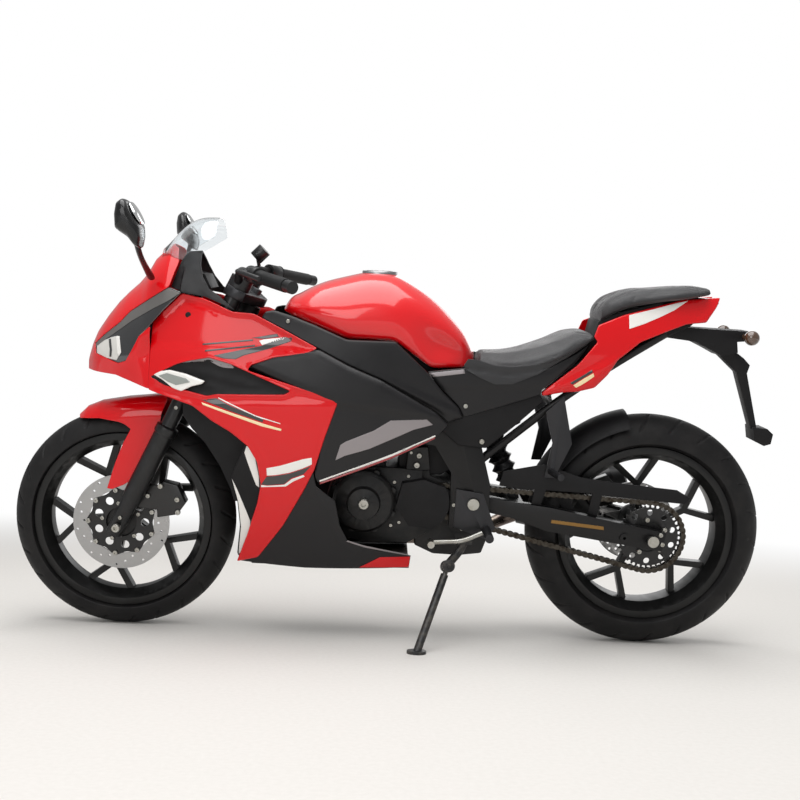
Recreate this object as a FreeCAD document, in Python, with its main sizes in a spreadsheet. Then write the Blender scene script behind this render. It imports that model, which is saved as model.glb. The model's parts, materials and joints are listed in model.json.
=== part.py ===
"""Sport motorcycle with a full fairing, parked on its side stand: a parametric assembly in millimetres.

The bike is drawn upright in the bike frame: x forward from the middle of the wheelbase, y to the rider's
left, z up from the ground line.  The steering parts are drawn in the steering frame, whose z runs up the
steering axis from the lower clamp, and each wheel about its own axle.  At the end every sub-part leans
together onto the side stand, and the middle of the parked bike's footprint becomes the origin.
"""
import FreeCAD, Part
import math
import os
import re

import Sketcher
from FreeCAD import Placement, Rotation, Vector

# name, value in mm or degrees, meaning
SIZES = (
    ("lean_angle", 10, "lean of the parked bike towards its stand"),
    ("rake_angle", 25.4, "steering axis back from upright"),
    ("steering_x", 472.7, "lower clamp on the steering axis"),
    ("steering_z", 676.8, "lower clamp above the ground line"),
    ("fork_length", 440, "lower clamp to front axle along the leg"),
    ("fork_offset", 35, "legs ahead of the steering axis"),
    ("fork_spacing", 100, "leg centre from the middle plane"),
    ("clamp_spacing", 240, "lower clamp to upper clamp"),
    ("leg_radius", 26, "fork lower leg"),
    ("stanchion_radius", 20.5, "fork inner tube"),
    ("pivot_x", -225, "swingarm pivot"),
    ("pivot_z", 392, "swingarm pivot"),
    ("swingarm_length", 474.5, "pivot to rear axle"),
    ("front_tyre_radius", 293, "110/70-17 tyre"),
    ("front_tyre_width", 110, "front section width"),
    ("rear_tyre_radius", 314, "140/70-17 tyre"),
    ("rear_tyre_width", 140, "rear section width"),
    ("rim_seat_radius", 218.5, "bead seat of a 17 inch rim"),
    ("rim_flange_height", 13.5, "flange above the bead seat"),
    ("front_rim_width", 84, "between the flanges"),
    ("rear_rim_width", 108, "between the flanges"),
    ("rim_well_depth", 14, "drop centre below the bead seat"),
    ("rim_wall", 8, "barrel wall"),
    ("spoke_count", 5, "forked spokes in each wheel"),
    ("spoke_thickness", 26, "spoke across the wheel"),
    ("front_spoke_angle", 24, "first spoke ahead of upright"),
    ("rear_spoke_angle", 9, "first spoke ahead of upright"),
    ("axle_radius", 8.5, "both wheel axles"),
    ("axle_bore", 5, "hollow front axle"),
    ("axle_clearance", 0.3, "axle to hub bore"),
    ("front_axle_length", 262, "over the fork legs"),
    ("rear_axle_length", 276, "over the swingarm arms and adjusters"),
    ("front_disc_radius", 130, "brake disc"),
    ("front_disc_y", 60, "disc plane from the middle plane"),
    ("rear_disc_radius", 110, "brake disc"),
    ("rear_disc_y", 82, "disc plane from the middle plane"),
    ("disc_thickness", 4.5, "both discs"),
    ("disc_hole_pairs", 20, "drilled pairs round each disc"),
    ("disc_hole_radius", 3.5, "drilled holes in the discs"),
    ("sprocket_radius", 84, "over the teeth"),
    ("sprocket_teeth", 38, "rear sprocket"),
    ("sprocket_windows", 10, "round windows in the rear sprocket"),
    ("drive_sprocket_radius", 32, "front sprocket"),
    ("drive_x", -148, "front sprocket"),
    ("drive_z", 392, "front sprocket"),
    ("bar_radius", 11, "handlebar tube"),
    ("bar_half_width", 338, "bar end from the middle plane"),
    ("bar_sweep", 88, "bar end behind the steering axis"),
    ("fender_gap", 22, "front tyre to fender"),
    ("fender_half_width", 92, "fender arch"),
    ("fender_angle", 5, "middle of the arch ahead of upright"),
    ("fender_sweep", 38, "length of the arch round the wheel"),
    ("hugger_angle", 38, "middle of the mudguard ahead of upright"),
    ("hugger_sweep", 52, "length of the mudguard round the wheel"),
    ("fender_wall", 3.5, "fender moulding"),
    ("hugger_gap", 14, "rear tyre to mudguard"),
    ("filler_x", 40, "fuel filler"),
    ("filler_z", 962, "filler collar seat"),
    ("collar_height", 13, "filler collar"),
    ("tank_floor_z", 806, "tank floor on its front mounts"),
    ("tank_rear_z", 738, "tank floor on its rear mounts"),
    ("mount_gap", 0.3, "tank on its mounts"),
    ("seat_gap", 0.3, "seats on their tray"),
    ("tray_half_width", 71.2, "tray between the rails"),
    ("chain_y", 88, "chain line from the middle plane"),
    ("chain_width", 15, "over the link plates"),
    ("chain_height", 14, "link plate height"),
    ("chain_pitch", 15.875, "pin to pin"),
    ("link_plate", 4, "outer and inner plate together"),
    ("chain_clearance", 0.5, "chain to the sprocket teeth"),
    ("fairing_half_width", 240, "widest point of the side fairings"),
    ("fairing_widest_x", 150, "widest station"),
    ("fairing_widest_z", 580, "widest height"),
    ("fairing_front_radius", 1700, "plan curve ahead of the widest station"),
    ("fairing_side_radius", 828, "curve of the sides from top to bottom"),
    ("panel_wall", 4, "moulded panel wall"),
    ("panel_gap", 0.3, "inner panels behind the painted ones"),
    ("cover_plan_radius", 1100, "plan curve of the frame and tank covers"),
    ("tank_cover_half_width", 205, "widest point of the tank covers"),
    ("seat_panel_half_width", 150, "panels under the rider's seat"),
    ("tail_half_width", 130, "tail panels"),
    ("case_half_width", 95, "crankcase"),
    ("spar_thickness", 18, "frame spar plate"),
    ("spar_y", 99.5, "inner face of the frame spars"),
    ("rail_radius", 11, "seat rail tube"),
    ("tray_rear_half_width", 37.2, "tray where the tail narrows"),
    ("pivot_bolt_radius", 9, "swingarm pivot bolt"),
    ("spool_thread_radius", 4, "threaded bosses for a paddock stand"),
    ("steering_play", 0.4, "stem to head tube"),
    ("head_gap", 6, "head tube to each clamp"),
    ("lid_radius", 36, "fuel cap lid"),
    ("lid_gap", 0.4, "lid to its seat"),
)

SIDE, FRONT, TOP = "XZ_Plane", "YZ_Plane", "XY_Plane"
NAMES = {name for name, _, _ in SIZES}

doc = FreeCAD.newDocument("sport_motorcycle")
sheet = doc.addObject("Spreadsheet::Sheet", "sizes")
for row, (name, number, meaning) in enumerate(SIZES, 1):
    sheet.set("A%d" % row, name)
    sheet.set("B%d" % row, str(number))
    sheet.set("C%d" % row, meaning)
    sheet.setAlias("B%d" % row, name)
doc.recompute()

sub_parts = []          # (object, name of its frame)


def bound(text):
    """Expression text with every size name pointing at its cell."""
    return re.sub(r"[a-z][a-z_]*", lambda w: "sizes." + w.group() if w.group() in NAMES else w.group(),
        str(text))


def value(text):
    """Number that an expression in the size names stands for."""
    return float(sheet.evalExpression(bound(text)))


def is_number(text):
    return not re.search("[a-z]", str(text))


# ---------------------------------------------------------------- frames

def bike_frame():
    return Placement()


def front_axle():
    """Front axle in the bike frame: down the leg from the lower clamp, plus the clamp's offset."""
    rake = math.radians(value("rake_angle"))
    length, offset = value("fork_length"), value("fork_offset")
    x = value("steering_x") + length * math.sin(rake) + offset * math.cos(rake)
    z = value("steering_z") - length * math.cos(rake) + offset * math.sin(rake)
    return Vector(x, 0, z)


def axle_height(tyre):
    """Axle above the ground along the leaning wheel, for a tyre whose crown is a half circle."""
    lean = math.radians(value("lean_angle"))
    crown = value(tyre + "_tyre_width") / 2
    return ((value(tyre + "_tyre_radius") - crown) * math.cos(lean) + crown) / math.cos(lean)


def ground_z():
    return front_axle().z - axle_height("front")


def rear_axle():
    """Rear axle in the bike frame: the swingarm drops until the rear tyre meets the same ground."""
    z = ground_z() + axle_height("rear")
    drop = value("pivot_z") - z
    return Vector(value("pivot_x") - math.sqrt(value("swingarm_length") ** 2 - drop ** 2), 0, z)


def steering_frame():
    base = Vector(value("steering_x"), 0, value("steering_z"))
    return Placement(base, Rotation(Vector(0, 1, 0), -value("rake_angle")))


def front_wheel_frame():
    return Placement(front_axle(), Rotation())


def rear_wheel_frame():
    return Placement(rear_axle(), Rotation())


def swingarm_frame():
    """Origin at the pivot, x forward along the line from the rear axle to the pivot."""
    axle = rear_axle()
    slope = math.degrees(math.atan2(value("pivot_z") - axle.z, value("pivot_x") - axle.x))
    return Placement(Vector(value("pivot_x"), 0, value("pivot_z")), Rotation(Vector(0, 1, 0), -slope))


def turned(frame, angle):
    """A wheel's frame turned about its axle."""
    return frame().multiply(Placement(Vector(), Rotation(Vector(0, 1, 0), value(angle))))


FRAMES = {
    "bike": bike_frame, "steering": steering_frame, "front_wheel": front_wheel_frame,
    "rear_wheel": rear_wheel_frame, "swingarm": swingarm_frame,
    "front_spokes": lambda: turned(front_wheel_frame, "front_spoke_angle"),
    "rear_spokes": lambda: turned(rear_wheel_frame, "rear_spoke_angle"),
    "fender": lambda: turned(front_wheel_frame, "fender_angle"),
    "hugger": lambda: turned(rear_wheel_frame, "hugger_angle"),
}


# ---------------------------------------------------------------- drawing helpers

def new_body(name, frame="bike"):
    body = doc.addObject("PartDesign::Body", name)
    body.Label = name
    sub_parts.append((body, frame))
    return body


def sketch_on(body, plane, offset=0):
    """Empty sketch on an origin plane, moved along the bike's own axis by offset."""
    sketch = body.newObject("Sketcher::SketchObject", "sketch")
    sketch.AttachmentSupport = [([f for f in body.Origin.OriginFeatures if f.Role == plane][0], "")]
    sketch.MapMode = "FlatFace"
    along = "-(%s)" % offset if plane == SIDE else str(offset)
    sketch.setExpression("AttachmentOffset.Base.z", bound(along))
    return sketch


def pin(sketch, item, end, a, b):
    """Hold one point of the sketch at a, b, each a number or an expression."""
    held = []
    for kind, text, axis in (("DistanceX", a, -2), ("DistanceY", b, -1)):
        number = value(text)
        if is_number(text) and abs(number) < 1e-9:
            sketch.addConstraint(Sketcher.Constraint("PointOnObject", item, end, axis))
            continue
        index = sketch.addConstraint(Sketcher.Constraint(kind, -1, 1, item, end, number))
        held.append((index, text))
    return [(i, t) for i, t in held if not is_number(t)]


def draw(sketch, outline):
    """Closed outline of (a, b) corners; ("via", a, b) turns the edge it stands in into an arc over it."""
    corners = [i for i, p in enumerate(outline) if p[0] != "via"]
    first = sketch.GeometryCount
    spot = {i: Vector(value(outline[i][0]), value(outline[i][1]), 0) for i in corners}
    vias = {}
    for n, i in enumerate(corners):
        after = corners[(n + 1) % len(corners)]
        between = outline[i + 1] if i + 1 < len(outline) and outline[i + 1][0] == "via" else None
        if between:
            over = Vector(value(between[1]), value(between[2]), 0)
            sketch.addGeometry(Part.Arc(spot[i], over, spot[after]), False)
            vias[first + n] = between
        else:
            sketch.addGeometry(Part.LineSegment(spot[i], spot[after]), False)
    expressions = []
    count = len(corners)
    ends = [arc_ends(sketch, first + n, spot[i]) for n, i in enumerate(corners)]
    for n in range(count):
        nxt = (n + 1) % count
        sketch.addConstraint(Sketcher.Constraint("Coincident", first + n, ends[n][1], first + nxt,
            ends[nxt][0]))
    for n, i in enumerate(corners):
        expressions += pin(sketch, first + n, ends[n][0], outline[i][0], outline[i][1])
    for item, (_, a, b) in vias.items():
        mark = sketch.addGeometry(Part.Point(Vector(value(a), value(b), 0)), True)
        expressions += pin(sketch, mark, 1, a, b)
        sketch.addConstraint(Sketcher.Constraint("PointOnObject", mark, 1, item))
    for index, text in expressions:
        sketch.setExpression("Constraints[%d]" % index, bound(text))


def arc_ends(sketch, item, start):
    """Point numbers of an edge's start and end: an arc drawn clockwise stores them swapped."""
    near = (sketch.getPoint(item, 1) - start).Length
    return (1, 2) if near < 1e-6 else (2, 1)


def ring(sketch, a, b, radius):
    item = sketch.addGeometry(Part.Circle(Vector(value(a), value(b), 0), Vector(0, 0, 1), value(radius)),
        False)
    expressions = pin(sketch, item, 3, a, b)
    index = sketch.addConstraint(Sketcher.Constraint("Radius", item, value(radius)))
    for index, text in expressions + ([] if is_number(radius) else [(index, radius)]):
        sketch.setExpression("Constraints[%d]" % index, bound(text))


def extrude(body, sketch, length, both=False, flip=False, cut=False):
    """Pad or pocket of a sketch.  From a side plane it grows to the left (+y) unless flipped."""
    kind = "PartDesign::Pocket" if cut else "PartDesign::Pad"
    tool = body.newObject(kind, "pocket" if cut else "pad")
    tool.Profile = sketch
    if both:
        tool.SideType = "Symmetric"
    on_side = "XZ_Plane" in [s[0].Role for s in sketch.AttachmentSupport]
    tool.Reversed = (on_side != flip) != cut
    tool.setExpression("Length", bound(length))
    doc.recompute()
    return tool


def side_pad(body, outline, y_from, y_to, holes=()):
    """Plate with a side view outline, between two distances left of the middle plane."""
    sketch = sketch_on(body, SIDE, y_from)
    draw(sketch, outline)
    for hole in holes:
        ring(sketch, *hole)
    return extrude(body, sketch, "(%s) - (%s)" % (y_to, y_from))


def top_pad(body, outline, z_from, z_to):
    sketch = sketch_on(body, TOP, z_from)
    draw(sketch, outline)
    return extrude(body, sketch, "(%s) - (%s)" % (z_to, z_from))


def side_cut(body, outline, y_from, y_to):
    sketch = sketch_on(body, SIDE, y_from)
    draw(sketch, outline)
    return extrude(body, sketch, "(%s) - (%s)" % (y_to, y_from), cut=True)


def bore(body, x, z, radius, reach=1000):
    """Round hole across the whole body, along y."""
    sketch = sketch_on(body, SIDE)
    ring(sketch, x, z, radius)
    return extrude(body, sketch, reach, both=True, cut=True)


def spin(body, plane, outline, axis, angle=360, offset=0, both=True, cut=False):
    """Solid or groove of revolution about an axis of the sketch: H_Axis, V_Axis or Axis0."""
    sketch = sketch_on(body, plane, offset)
    draw(sketch, outline)
    return spin_sketch(body, sketch, axis, angle, both, cut)


def spin_sketch(body, sketch, axis, angle=360, both=True, cut=False):
    tool = body.newObject("PartDesign::Groove" if cut else "PartDesign::Revolution", "turned")
    tool.Profile = sketch
    tool.ReferenceAxis = (sketch, [axis])
    tool.Midplane = both and angle != 360
    tool.setExpression("Angle", bound(angle))
    doc.recompute()
    return tool


def spin_about(body, x, z, outline):
    """Solid turned about an axis along y through a point of the side view; outline in (y, radius)."""
    sketch = sketch_on(body, FRONT, x)
    draw(sketch, [(a, "(%s) + (%s)" % (z, b)) for a, b in outline])
    line = sketch.addGeometry(Part.LineSegment(Vector(0, value(z), 0), Vector(100, value(z), 0)), True)
    for end, along in ((1, 0), (2, 100)):
        for index, text in pin(sketch, line, end, along, z):
            sketch.setExpression("Constraints[%d]" % index, bound(text))
    return spin_sketch(body, sketch, "Axis0")


def loft(body, plane, sections, ruled=False):
    """Solid through outlines on parallel planes: (offset, outline) pairs."""
    sketches = []
    for offset, outline in sections:
        sketch = sketch_on(body, plane, offset)
        draw(sketch, outline)
        sketches.append(sketch)
    doc.recompute()
    tool = body.newObject("PartDesign::AdditiveLoft", "loft")
    tool.Profile = sketches[0]
    tool.Sections = sketches[1:]
    tool.Ruled = ruled
    doc.recompute()
    return tool


def around(body, tools, count, plane=SIDE):
    """Repeat features about the normal of an origin plane."""
    pattern = body.newObject("PartDesign::PolarPattern", "pattern")
    axis = {SIDE: "Y_Axis", FRONT: "X_Axis", TOP: "Z_Axis"}[plane]
    pattern.Originals = tools
    pattern.Axis = ([f for f in body.Origin.OriginFeatures if f.Role == axis][0], [""])
    pattern.Angle = 360
    pattern.setExpression("Occurrences", bound(count))
    body.Tip = pattern
    doc.recompute()
    return pattern


def mirror(body, tools):
    """Copy features across the middle plane of the bike."""
    copy = body.newObject("PartDesign::Mirrored", "mirrored")
    copy.Originals = tools
    copy.MirrorPlane = ([f for f in body.Origin.OriginFeatures if f.Role == SIDE][0], [""])
    body.Tip = copy
    doc.recompute()
    return copy


def fixed_shape(name, shape, frame="bike"):
    """Sub-part whose shape is worked out here from the sheet."""
    item = doc.addObject("Part::Feature", name)
    item.Label = name
    item.Shape = Part.makeCompound([shape])
    sub_parts.append((item, frame))
    return item


def tube(points, radius, bend=0.42):
    """Round bar along straight runs joined by tangent arcs."""
    spots = [Vector(*[value(c) for c in p]) for p in points]
    edges, start = [], spots[0]
    for before, corner, after in zip(spots, spots[1:], spots[2:]):
        into, out = (corner - before), (after - corner)
        cut = bend * min(into.Length, out.Length)
        into.normalize()
        out.normalize()
        first, last = corner - into * cut, corner + out * cut
        half = into.getAngle(out) / 2
        if half < 1e-3:
            continue
        inward = (out - into).normalize()
        middle = corner + inward * (cut * math.tan(half / 2))
        edges += [Part.LineSegment(start, first).toShape(), Part.Arc(first, middle, last).toShape()]
        start = last
    edges.append(Part.LineSegment(start, spots[-1]).toShape())
    path = Part.Wire(edges)
    ends = spots[1] - spots[0]
    profile = Part.Wire(Part.makeCircle(value(radius), spots[0], ends))
    return path.makePipeShell([profile], True, True)


def flip_y(shape):
    return shape.mirror(Vector(0, 0, 0), Vector(0, 1, 0))


def pair(shape):
    """A left-hand shape with its right-hand twin."""
    return Part.makeCompound([shape, flip_y(shape)])


# ---------------------------------------------------------------- wheels

def tyre(name, width, radius, seat_width):
    """Half circle crown, a bead on each side of the rim and a hollow inside."""
    body = new_body(name, name.replace("tyre", "wheel"))
    shoulder = "%s - %s / 2" % (radius, width)
    bead = "%s / 2 - 0.3" % seat_width
    flange = "rim_seat_radius + rim_flange_height + 1"
    spin(body, FRONT, [
        ("-%s / 2" % width, shoulder), ("via", 0, radius), ("%s / 2" % width, shoulder),
        (bead, flange), (bead, "rim_seat_radius + 0.3"), (bead + " - 14", "rim_seat_radius + 0.3"),
        ("via", 0, radius + " - 12"), ("-(%s - 14)" % bead, "rim_seat_radius + 0.3"),
        ("-(%s)" % bead, "rim_seat_radius + 0.3"), ("-(%s)" % bead, flange),
    ], "H_Axis")


def rim(name, frame, width, hub_half, disc_side, disc_y, boss_radius, hub_left, hub_right):
    """Cast wheel: drop centre barrel, five forked spokes, a bored hub and a boss for the disc."""
    body = new_body(name, frame)
    half = "(%s / 2)" % width
    flange = "rim_seat_radius + rim_flange_height"
    well = "rim_seat_radius - rim_well_depth"
    inner_seat = "rim_seat_radius - rim_wall - 4"
    spin(body, FRONT, [
        ("-%s - 5" % half, flange), ("-" + half, flange), ("-" + half, "rim_seat_radius"),
        ("-%s + 16" % half, "rim_seat_radius"), ("-%s + 26" % half, well),
        (half + " - 26", well), (half + " - 16", "rim_seat_radius"), (half, "rim_seat_radius"),
        (half, flange), (half + " + 5", flange), (half + " + 5", "rim_seat_radius - 4"),
        (half + " - 12", inner_seat), (half + " - 26", well + " - rim_wall"),
        ("-%s + 26" % half, well + " - rim_wall"), ("-%s + 12" % half, inner_seat),
        ("-%s - 5" % half, "rim_seat_radius - 4"),
    ], "H_Axis")
    spin(body, FRONT, [
        ("-(%s)" % hub_right, 18), ("-(%s)" % hub_half, 20), ("-(%s)" % hub_half, 30), (hub_half, 30),
        (hub_half, 20), (hub_left, 18), (hub_left, "axle_radius + axle_clearance"),
        ("-(%s)" % hub_right, "axle_radius + axle_clearance"),
    ], "H_Axis")
    near, far = "%s * (spoke_thickness / 2)" % disc_side, "%s * (%s - 0.3)" % (disc_side, disc_y)
    spin(body, FRONT, [(near, boss_radius), (far, boss_radius), (far, 17), (near, 17)], "H_Axis")
    fork_tip, fork_heel = "rim_seat_radius - 22", "rim_seat_radius - 35"
    sketch = sketch_on(body, SIDE)
    draw(sketch, [
        (-13, 24), (-8, 60), (-8, 122), (-62, fork_heel), (-58, fork_tip), (-51, fork_tip),
        (0, 136), (51, fork_tip), (58, fork_tip), (62, fork_heel), (8, 122), (8, 60), (13, 24),
    ])
    spoke = extrude(body, sketch, "spoke_thickness", both=True)
    around(body, [spoke], "spoke_count")


def brake_disc(name, frame, radius, y_near, hub_radius, side=1):
    """Rotor ring on a five-armed carrier, bolted to the hub face; side is 1 for left, -1 for right."""
    body = new_body(name, frame)
    near, far = ("-(%s) - disc_thickness" % y_near, "-(%s)" % y_near) if side < 0 else (
        y_near, "(%s) + disc_thickness" % y_near)
    spin(body, FRONT, [
        (near, radius), (far, radius), (far, radius + " - 26"), (near, radius + " - 26"),
    ], "H_Axis")
    spin(body, FRONT, [
        (near, hub_radius), (far, hub_radius), (far, hub_radius + " - 12"), (near, hub_radius + " - 12"),
    ], "H_Axis")
    sketch = sketch_on(body, SIDE, near)
    draw(sketch, [
        (-13, hub_radius + " - 6"), (-9, radius + " - 20"), (9, radius + " - 20"), (13, hub_radius + " - 6"),
    ])
    arm = extrude(body, sketch, "disc_thickness")
    around(body, [arm], "spoke_count")
    drilled = sketch_on(body, SIDE, near)
    ring(drilled, 0, radius + " - 7.5", "disc_hole_radius")
    ring(drilled, "(%s - 17) * sin(180 / disc_hole_pairs)" % radius,
         "(%s - 17) * cos(180 / disc_hole_pairs)" % radius, "disc_hole_radius")
    around(body, [extrude(body, drilled, "disc_thickness", cut=True)], "disc_hole_pairs")


def build_sprocket():
    """Toothed ring on the cush hub, left of the rear wheel."""
    body = new_body("rear_sprocket", "rear_wheel")
    spin(body, FRONT, [
        ("chain_y - 3", "sprocket_radius - 6"), ("chain_y + 3", "sprocket_radius - 6"),
        ("chain_y + 3", 40), ("chain_y - 3", 40),
    ], "H_Axis")
    spin(body, FRONT, [
        (40.3, 58), ("chain_y - 2", 52), ("chain_y - 2", "axle_radius + axle_clearance"),
        (40.3, "axle_radius + axle_clearance"),
    ], "H_Axis")
    sketch = sketch_on(body, SIDE, "chain_y - 3")
    draw(sketch, [
        (-3.5, "sprocket_radius - 8"), (-1.5, "sprocket_radius"), (1.5, "sprocket_radius"),
        (3.5, "sprocket_radius - 8"),
    ])
    tooth = extrude(body, sketch, 6)
    around(body, [tooth], "sprocket_teeth")
    window = sketch_on(body, SIDE, "chain_y - 3")
    ring(window, 0, "sprocket_radius - 19", 8)
    around(body, [extrude(body, window, 6, cut=True)], "sprocket_windows")


def build_wheels():
    tyre("front_tyre", "front_tyre_width", "front_tyre_radius", "front_rim_width")
    tyre("rear_tyre", "rear_tyre_width", "rear_tyre_radius", "rear_rim_width")
    rim("front_rim", "front_spokes", "front_rim_width", 34, 1, "front_disc_y", 46, 73, 73)
    rim("rear_rim", "rear_spokes", "rear_rim_width", 39.9, -1, "rear_disc_y", 44, 39.9, 94)
    brake_disc("front_disc", "front_wheel", "front_disc_radius", "front_disc_y", "52")
    brake_disc("rear_disc", "rear_wheel", "rear_disc_radius", "rear_disc_y", "48", side=-1)
    build_sprocket()


# ---------------------------------------------------------------- steering

def build_forks():
    """Two telescopic legs: lower leg with its axle lug, and the inner tube up through both clamps."""
    body = new_body("fork_legs", "steering")
    top = "clamp_spacing + 42"
    sketch = sketch_on(body, FRONT, "fork_offset")
    draw(sketch, [("fork_spacing + %s" % a, b) for a, b in (
        ("0", "-fork_length - 30"), ("leg_radius - 4", "-fork_length - 24"),
        ("leg_radius - 4", "-fork_length + 60"),
        ("leg_radius", "-fork_length + 90"), ("leg_radius", "-170"), ("leg_radius + 3", "-166"),
        ("leg_radius + 3", "-148"), ("stanchion_radius", "-144"), ("stanchion_radius", top),
        ("stanchion_radius - 4", "(%s) + 5" % top), ("0", "(%s) + 5" % top),
    )])
    axis_line(sketch, "fork_spacing")
    spin_sketch(body, sketch, "Axis0")
    bore(body, "fork_offset", "-fork_length", "axle_radius + 0.05")
    twin(body)


def clamp(body, z_low, z_high):
    """One yoke of the triple clamp, bored for both tubes."""
    reach, nose = "fork_spacing + stanchion_radius + 11", "fork_offset + stanchion_radius + 9"
    pad = top_pad(body, [
        (-26, -38), ("via", -36, 0), (-26, 38), (8, reach), ("via", "fork_offset + 6", reach + " + 4"),
        (nose, "fork_spacing"), ("via", 46, 0), (nose, "-fork_spacing"),
        ("via", "fork_offset + 6", "-(%s) - 4" % reach),
        (8, "-(%s)" % reach),
    ], z_low, z_high)
    sketch = sketch_on(body, TOP, z_low)
    for side in (1, -1):
        ring(sketch, "fork_offset", "%d * fork_spacing" % side, "stanchion_radius + 0.05")
    extrude(body, sketch, "(%s) - (%s)" % (z_high, z_low), cut=True)


def build_clamps():
    """Both yokes with the stem that turns in the head tube."""
    body = new_body("triple_clamps", "steering")
    clamp(body, -16, 16)
    spin(body, FRONT, [(0, 10), (14, 10), (14, "clamp_spacing + 26"), (0, "clamp_spacing + 26")], "V_Axis")
    clamp(body, "clamp_spacing - 12", "clamp_spacing + 12")


def build_handlebars():
    """Clip-on bars: a ring round each fork tube, a riser, a swept tube and a bar end weight."""
    low, high = value("clamp_spacing + 12.3"), value("clamp_spacing + 40")
    x, y, radius = value("fork_offset"), value("fork_spacing"), value("stanchion_radius")
    tip, along = bar_point(1, 1.0)
    holder = Part.makeCylinder(radius + 9, high - low, Vector(x, y, low))
    weight = Part.makeCylinder(15, 26, tip - along * 0.5, along)
    hole = Part.makeCylinder(radius + 0.05, high - low + 60, Vector(x, y, low - 20))
    bar = holder.fuse([tube(bar_route(1), "bar_radius"), weight]).cut(hole).removeSplitter()
    fixed_shape("handlebars", pair(bar), "steering")


def bar_route(side):
    """From the clip-on ring out and back to the bar end."""
    return [
        ("fork_offset + 4", "%d * (fork_spacing + 22)" % side, "clamp_spacing + 30"),
        ("fork_offset + 10", "%d * (fork_spacing + 50)" % side, "clamp_spacing + 58"),
        ("-bar_sweep", "%d * bar_half_width" % side, "clamp_spacing + 91"),
    ]


def bar_point(side, share):
    """Point on the straight part of a bar, by its share of the way out, and the bar's direction."""
    start, end = (Vector(*[value(c) for c in p]) for p in bar_route(side)[1:])
    return start + (end - start) * share, (end - start).normalize()


def build_grips():
    """Rubber grips with a flange inboard."""
    start, along = bar_point(1, 0.42)
    length = (bar_point(1, 0.985)[0] - start).Length
    hole = Part.makeCylinder(value("bar_radius") + 0.05, length + 2, start - along, along)
    grip = Part.makeCylinder(16.5, length, start, along).fuse(Part.makeCylinder(22, 4, start,
        along)).cut(hole)
    fixed_shape("grips", pair(grip.removeSplitter()), "steering")


def build_hand_controls():
    """Switch housings clamped on the bars with their levers, and the brake reservoir on the right."""
    shapes = []
    for side in (1, -1):
        base, along = bar_point(side, 0.24)
        forward = Vector(1, 0, -0.25).normalize()
        housing = Part.makeCylinder(21, 41.5, base, along)
        hole = Part.makeCylinder(value("bar_radius") + 0.05, 60, base - along * 8, along)
        lever = tube([
            tuple(base + along * 20 + forward * 12), tuple(base + along * 34 + forward * 52),
            tuple(base + along * 170 + forward * 62),
        ], 6.5, bend=0.3)
        shapes.append(housing.fuse(lever).cut(hole).removeSplitter())
    base, along = bar_point(-1, 0.1)
    foot = base + Vector(26, 0, 14)
    cup = Part.makeCylinder(20, 34, foot + Vector(0, 0, 10), Vector(-0.35, 0, 1))
    arm = Part.makeCylinder(5, 30, base + Vector(8, 0, 8), foot + Vector(0, 0, 18) - base - Vector(8, 0, 8))
    bar_hole = Part.makeCylinder(value("bar_radius") + 0.05, 90, base - along * 30, along)
    shapes.append(cup.fuse(arm).cut(bar_hole).removeSplitter())
    fixed_shape("hand_controls", Part.makeCompound(shapes), "steering")


def arch(body, half_width, inner, drop, wall, sweep):
    """Curved cover round part of a wheel, its middle straight above the axle of its frame."""
    spin(body, FRONT, [
        ("-(%s)" % half_width, "(%s) - %s" % (inner, drop)), ("via", 0, inner),
        (half_width, "(%s) - %s" % (inner, drop)),
        ("(%s) + %s" % (half_width, wall), "(%s) - %s" % (inner, drop)),
        ("via", 0, "(%s) + %s" % (inner, wall)),
        ("-(%s) - %s" % (half_width, wall), "(%s) - %s" % (inner, drop)),
    ], "H_Axis", angle=sweep)


def build_front_fender():
    """Arch over the front tyre with a guard plate down each side, ahead of the fork leg."""
    body = new_body("front_fender", "fender")
    arch(body, "fender_half_width", "front_tyre_radius + fender_gap", 42, "fender_wall", "fender_sweep")
    guard = side_pad(body, [
        (90, 286), (38, 282), (-30, 268), (-52, 254), (-26, 205), (22, 106), (-28, 108), (-36, 112.4),
        (-48.6, 133.9),
        (-42, 140), (-52, 156), (-74, 194), (-86.6, 198.6), (-99.2, 220.2), (-90, 224), (-108, 254),
        (-128, 296), (-104, 322), (-60, 300), (40, 300),
    ], "fender_half_width", "fender_half_width + fender_wall")
    mirror(body, [guard])


def build_front_axle():
    fixed_shape("front_axle", Part.makeCylinder(
        value("axle_radius"), value("front_axle_length"), Vector(0, -value("front_axle_length / 2"), 0),
        Vector(0, 1, 0)).cut(Part.makeCylinder(
            value("axle_bore"), value("front_axle_length"), Vector(0, -value("front_axle_length / 2"), 0),
            Vector(0, 1, 0))), "front_wheel")


def build_front_caliper():
    """Caliper behind the left leg, slotted over the disc."""
    body = new_body("front_caliper", "front_wheel")
    low, high = "front_disc_y - 14", "front_disc_y + disc_thickness + 22"
    side_pad(body, [(-98, 20), (-150, 30), (-172, 62), (-150, 108), (-112, 116), (-96, 84)], low, high)
    side_pad(body, [(-45.5, 45), (-76.1, 107.6), (-114, 106), (-104, 40)], high + " - 7", high)
    spin(body, FRONT, [
        ("front_disc_y - 1.5", 60), ("front_disc_y + disc_thickness + 1.5", 60),
        ("front_disc_y + disc_thickness + 1.5", "front_disc_radius + 3"),
        ("front_disc_y - 1.5", "front_disc_radius + 3"),
    ], "H_Axis", cut=True)


def build_steering():
    build_forks()
    build_clamps()
    build_handlebars()
    build_grips()
    build_hand_controls()
    build_front_fender()
    build_front_axle()
    build_front_caliper()


# ---------------------------------------------------------------- frame and running gear

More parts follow.
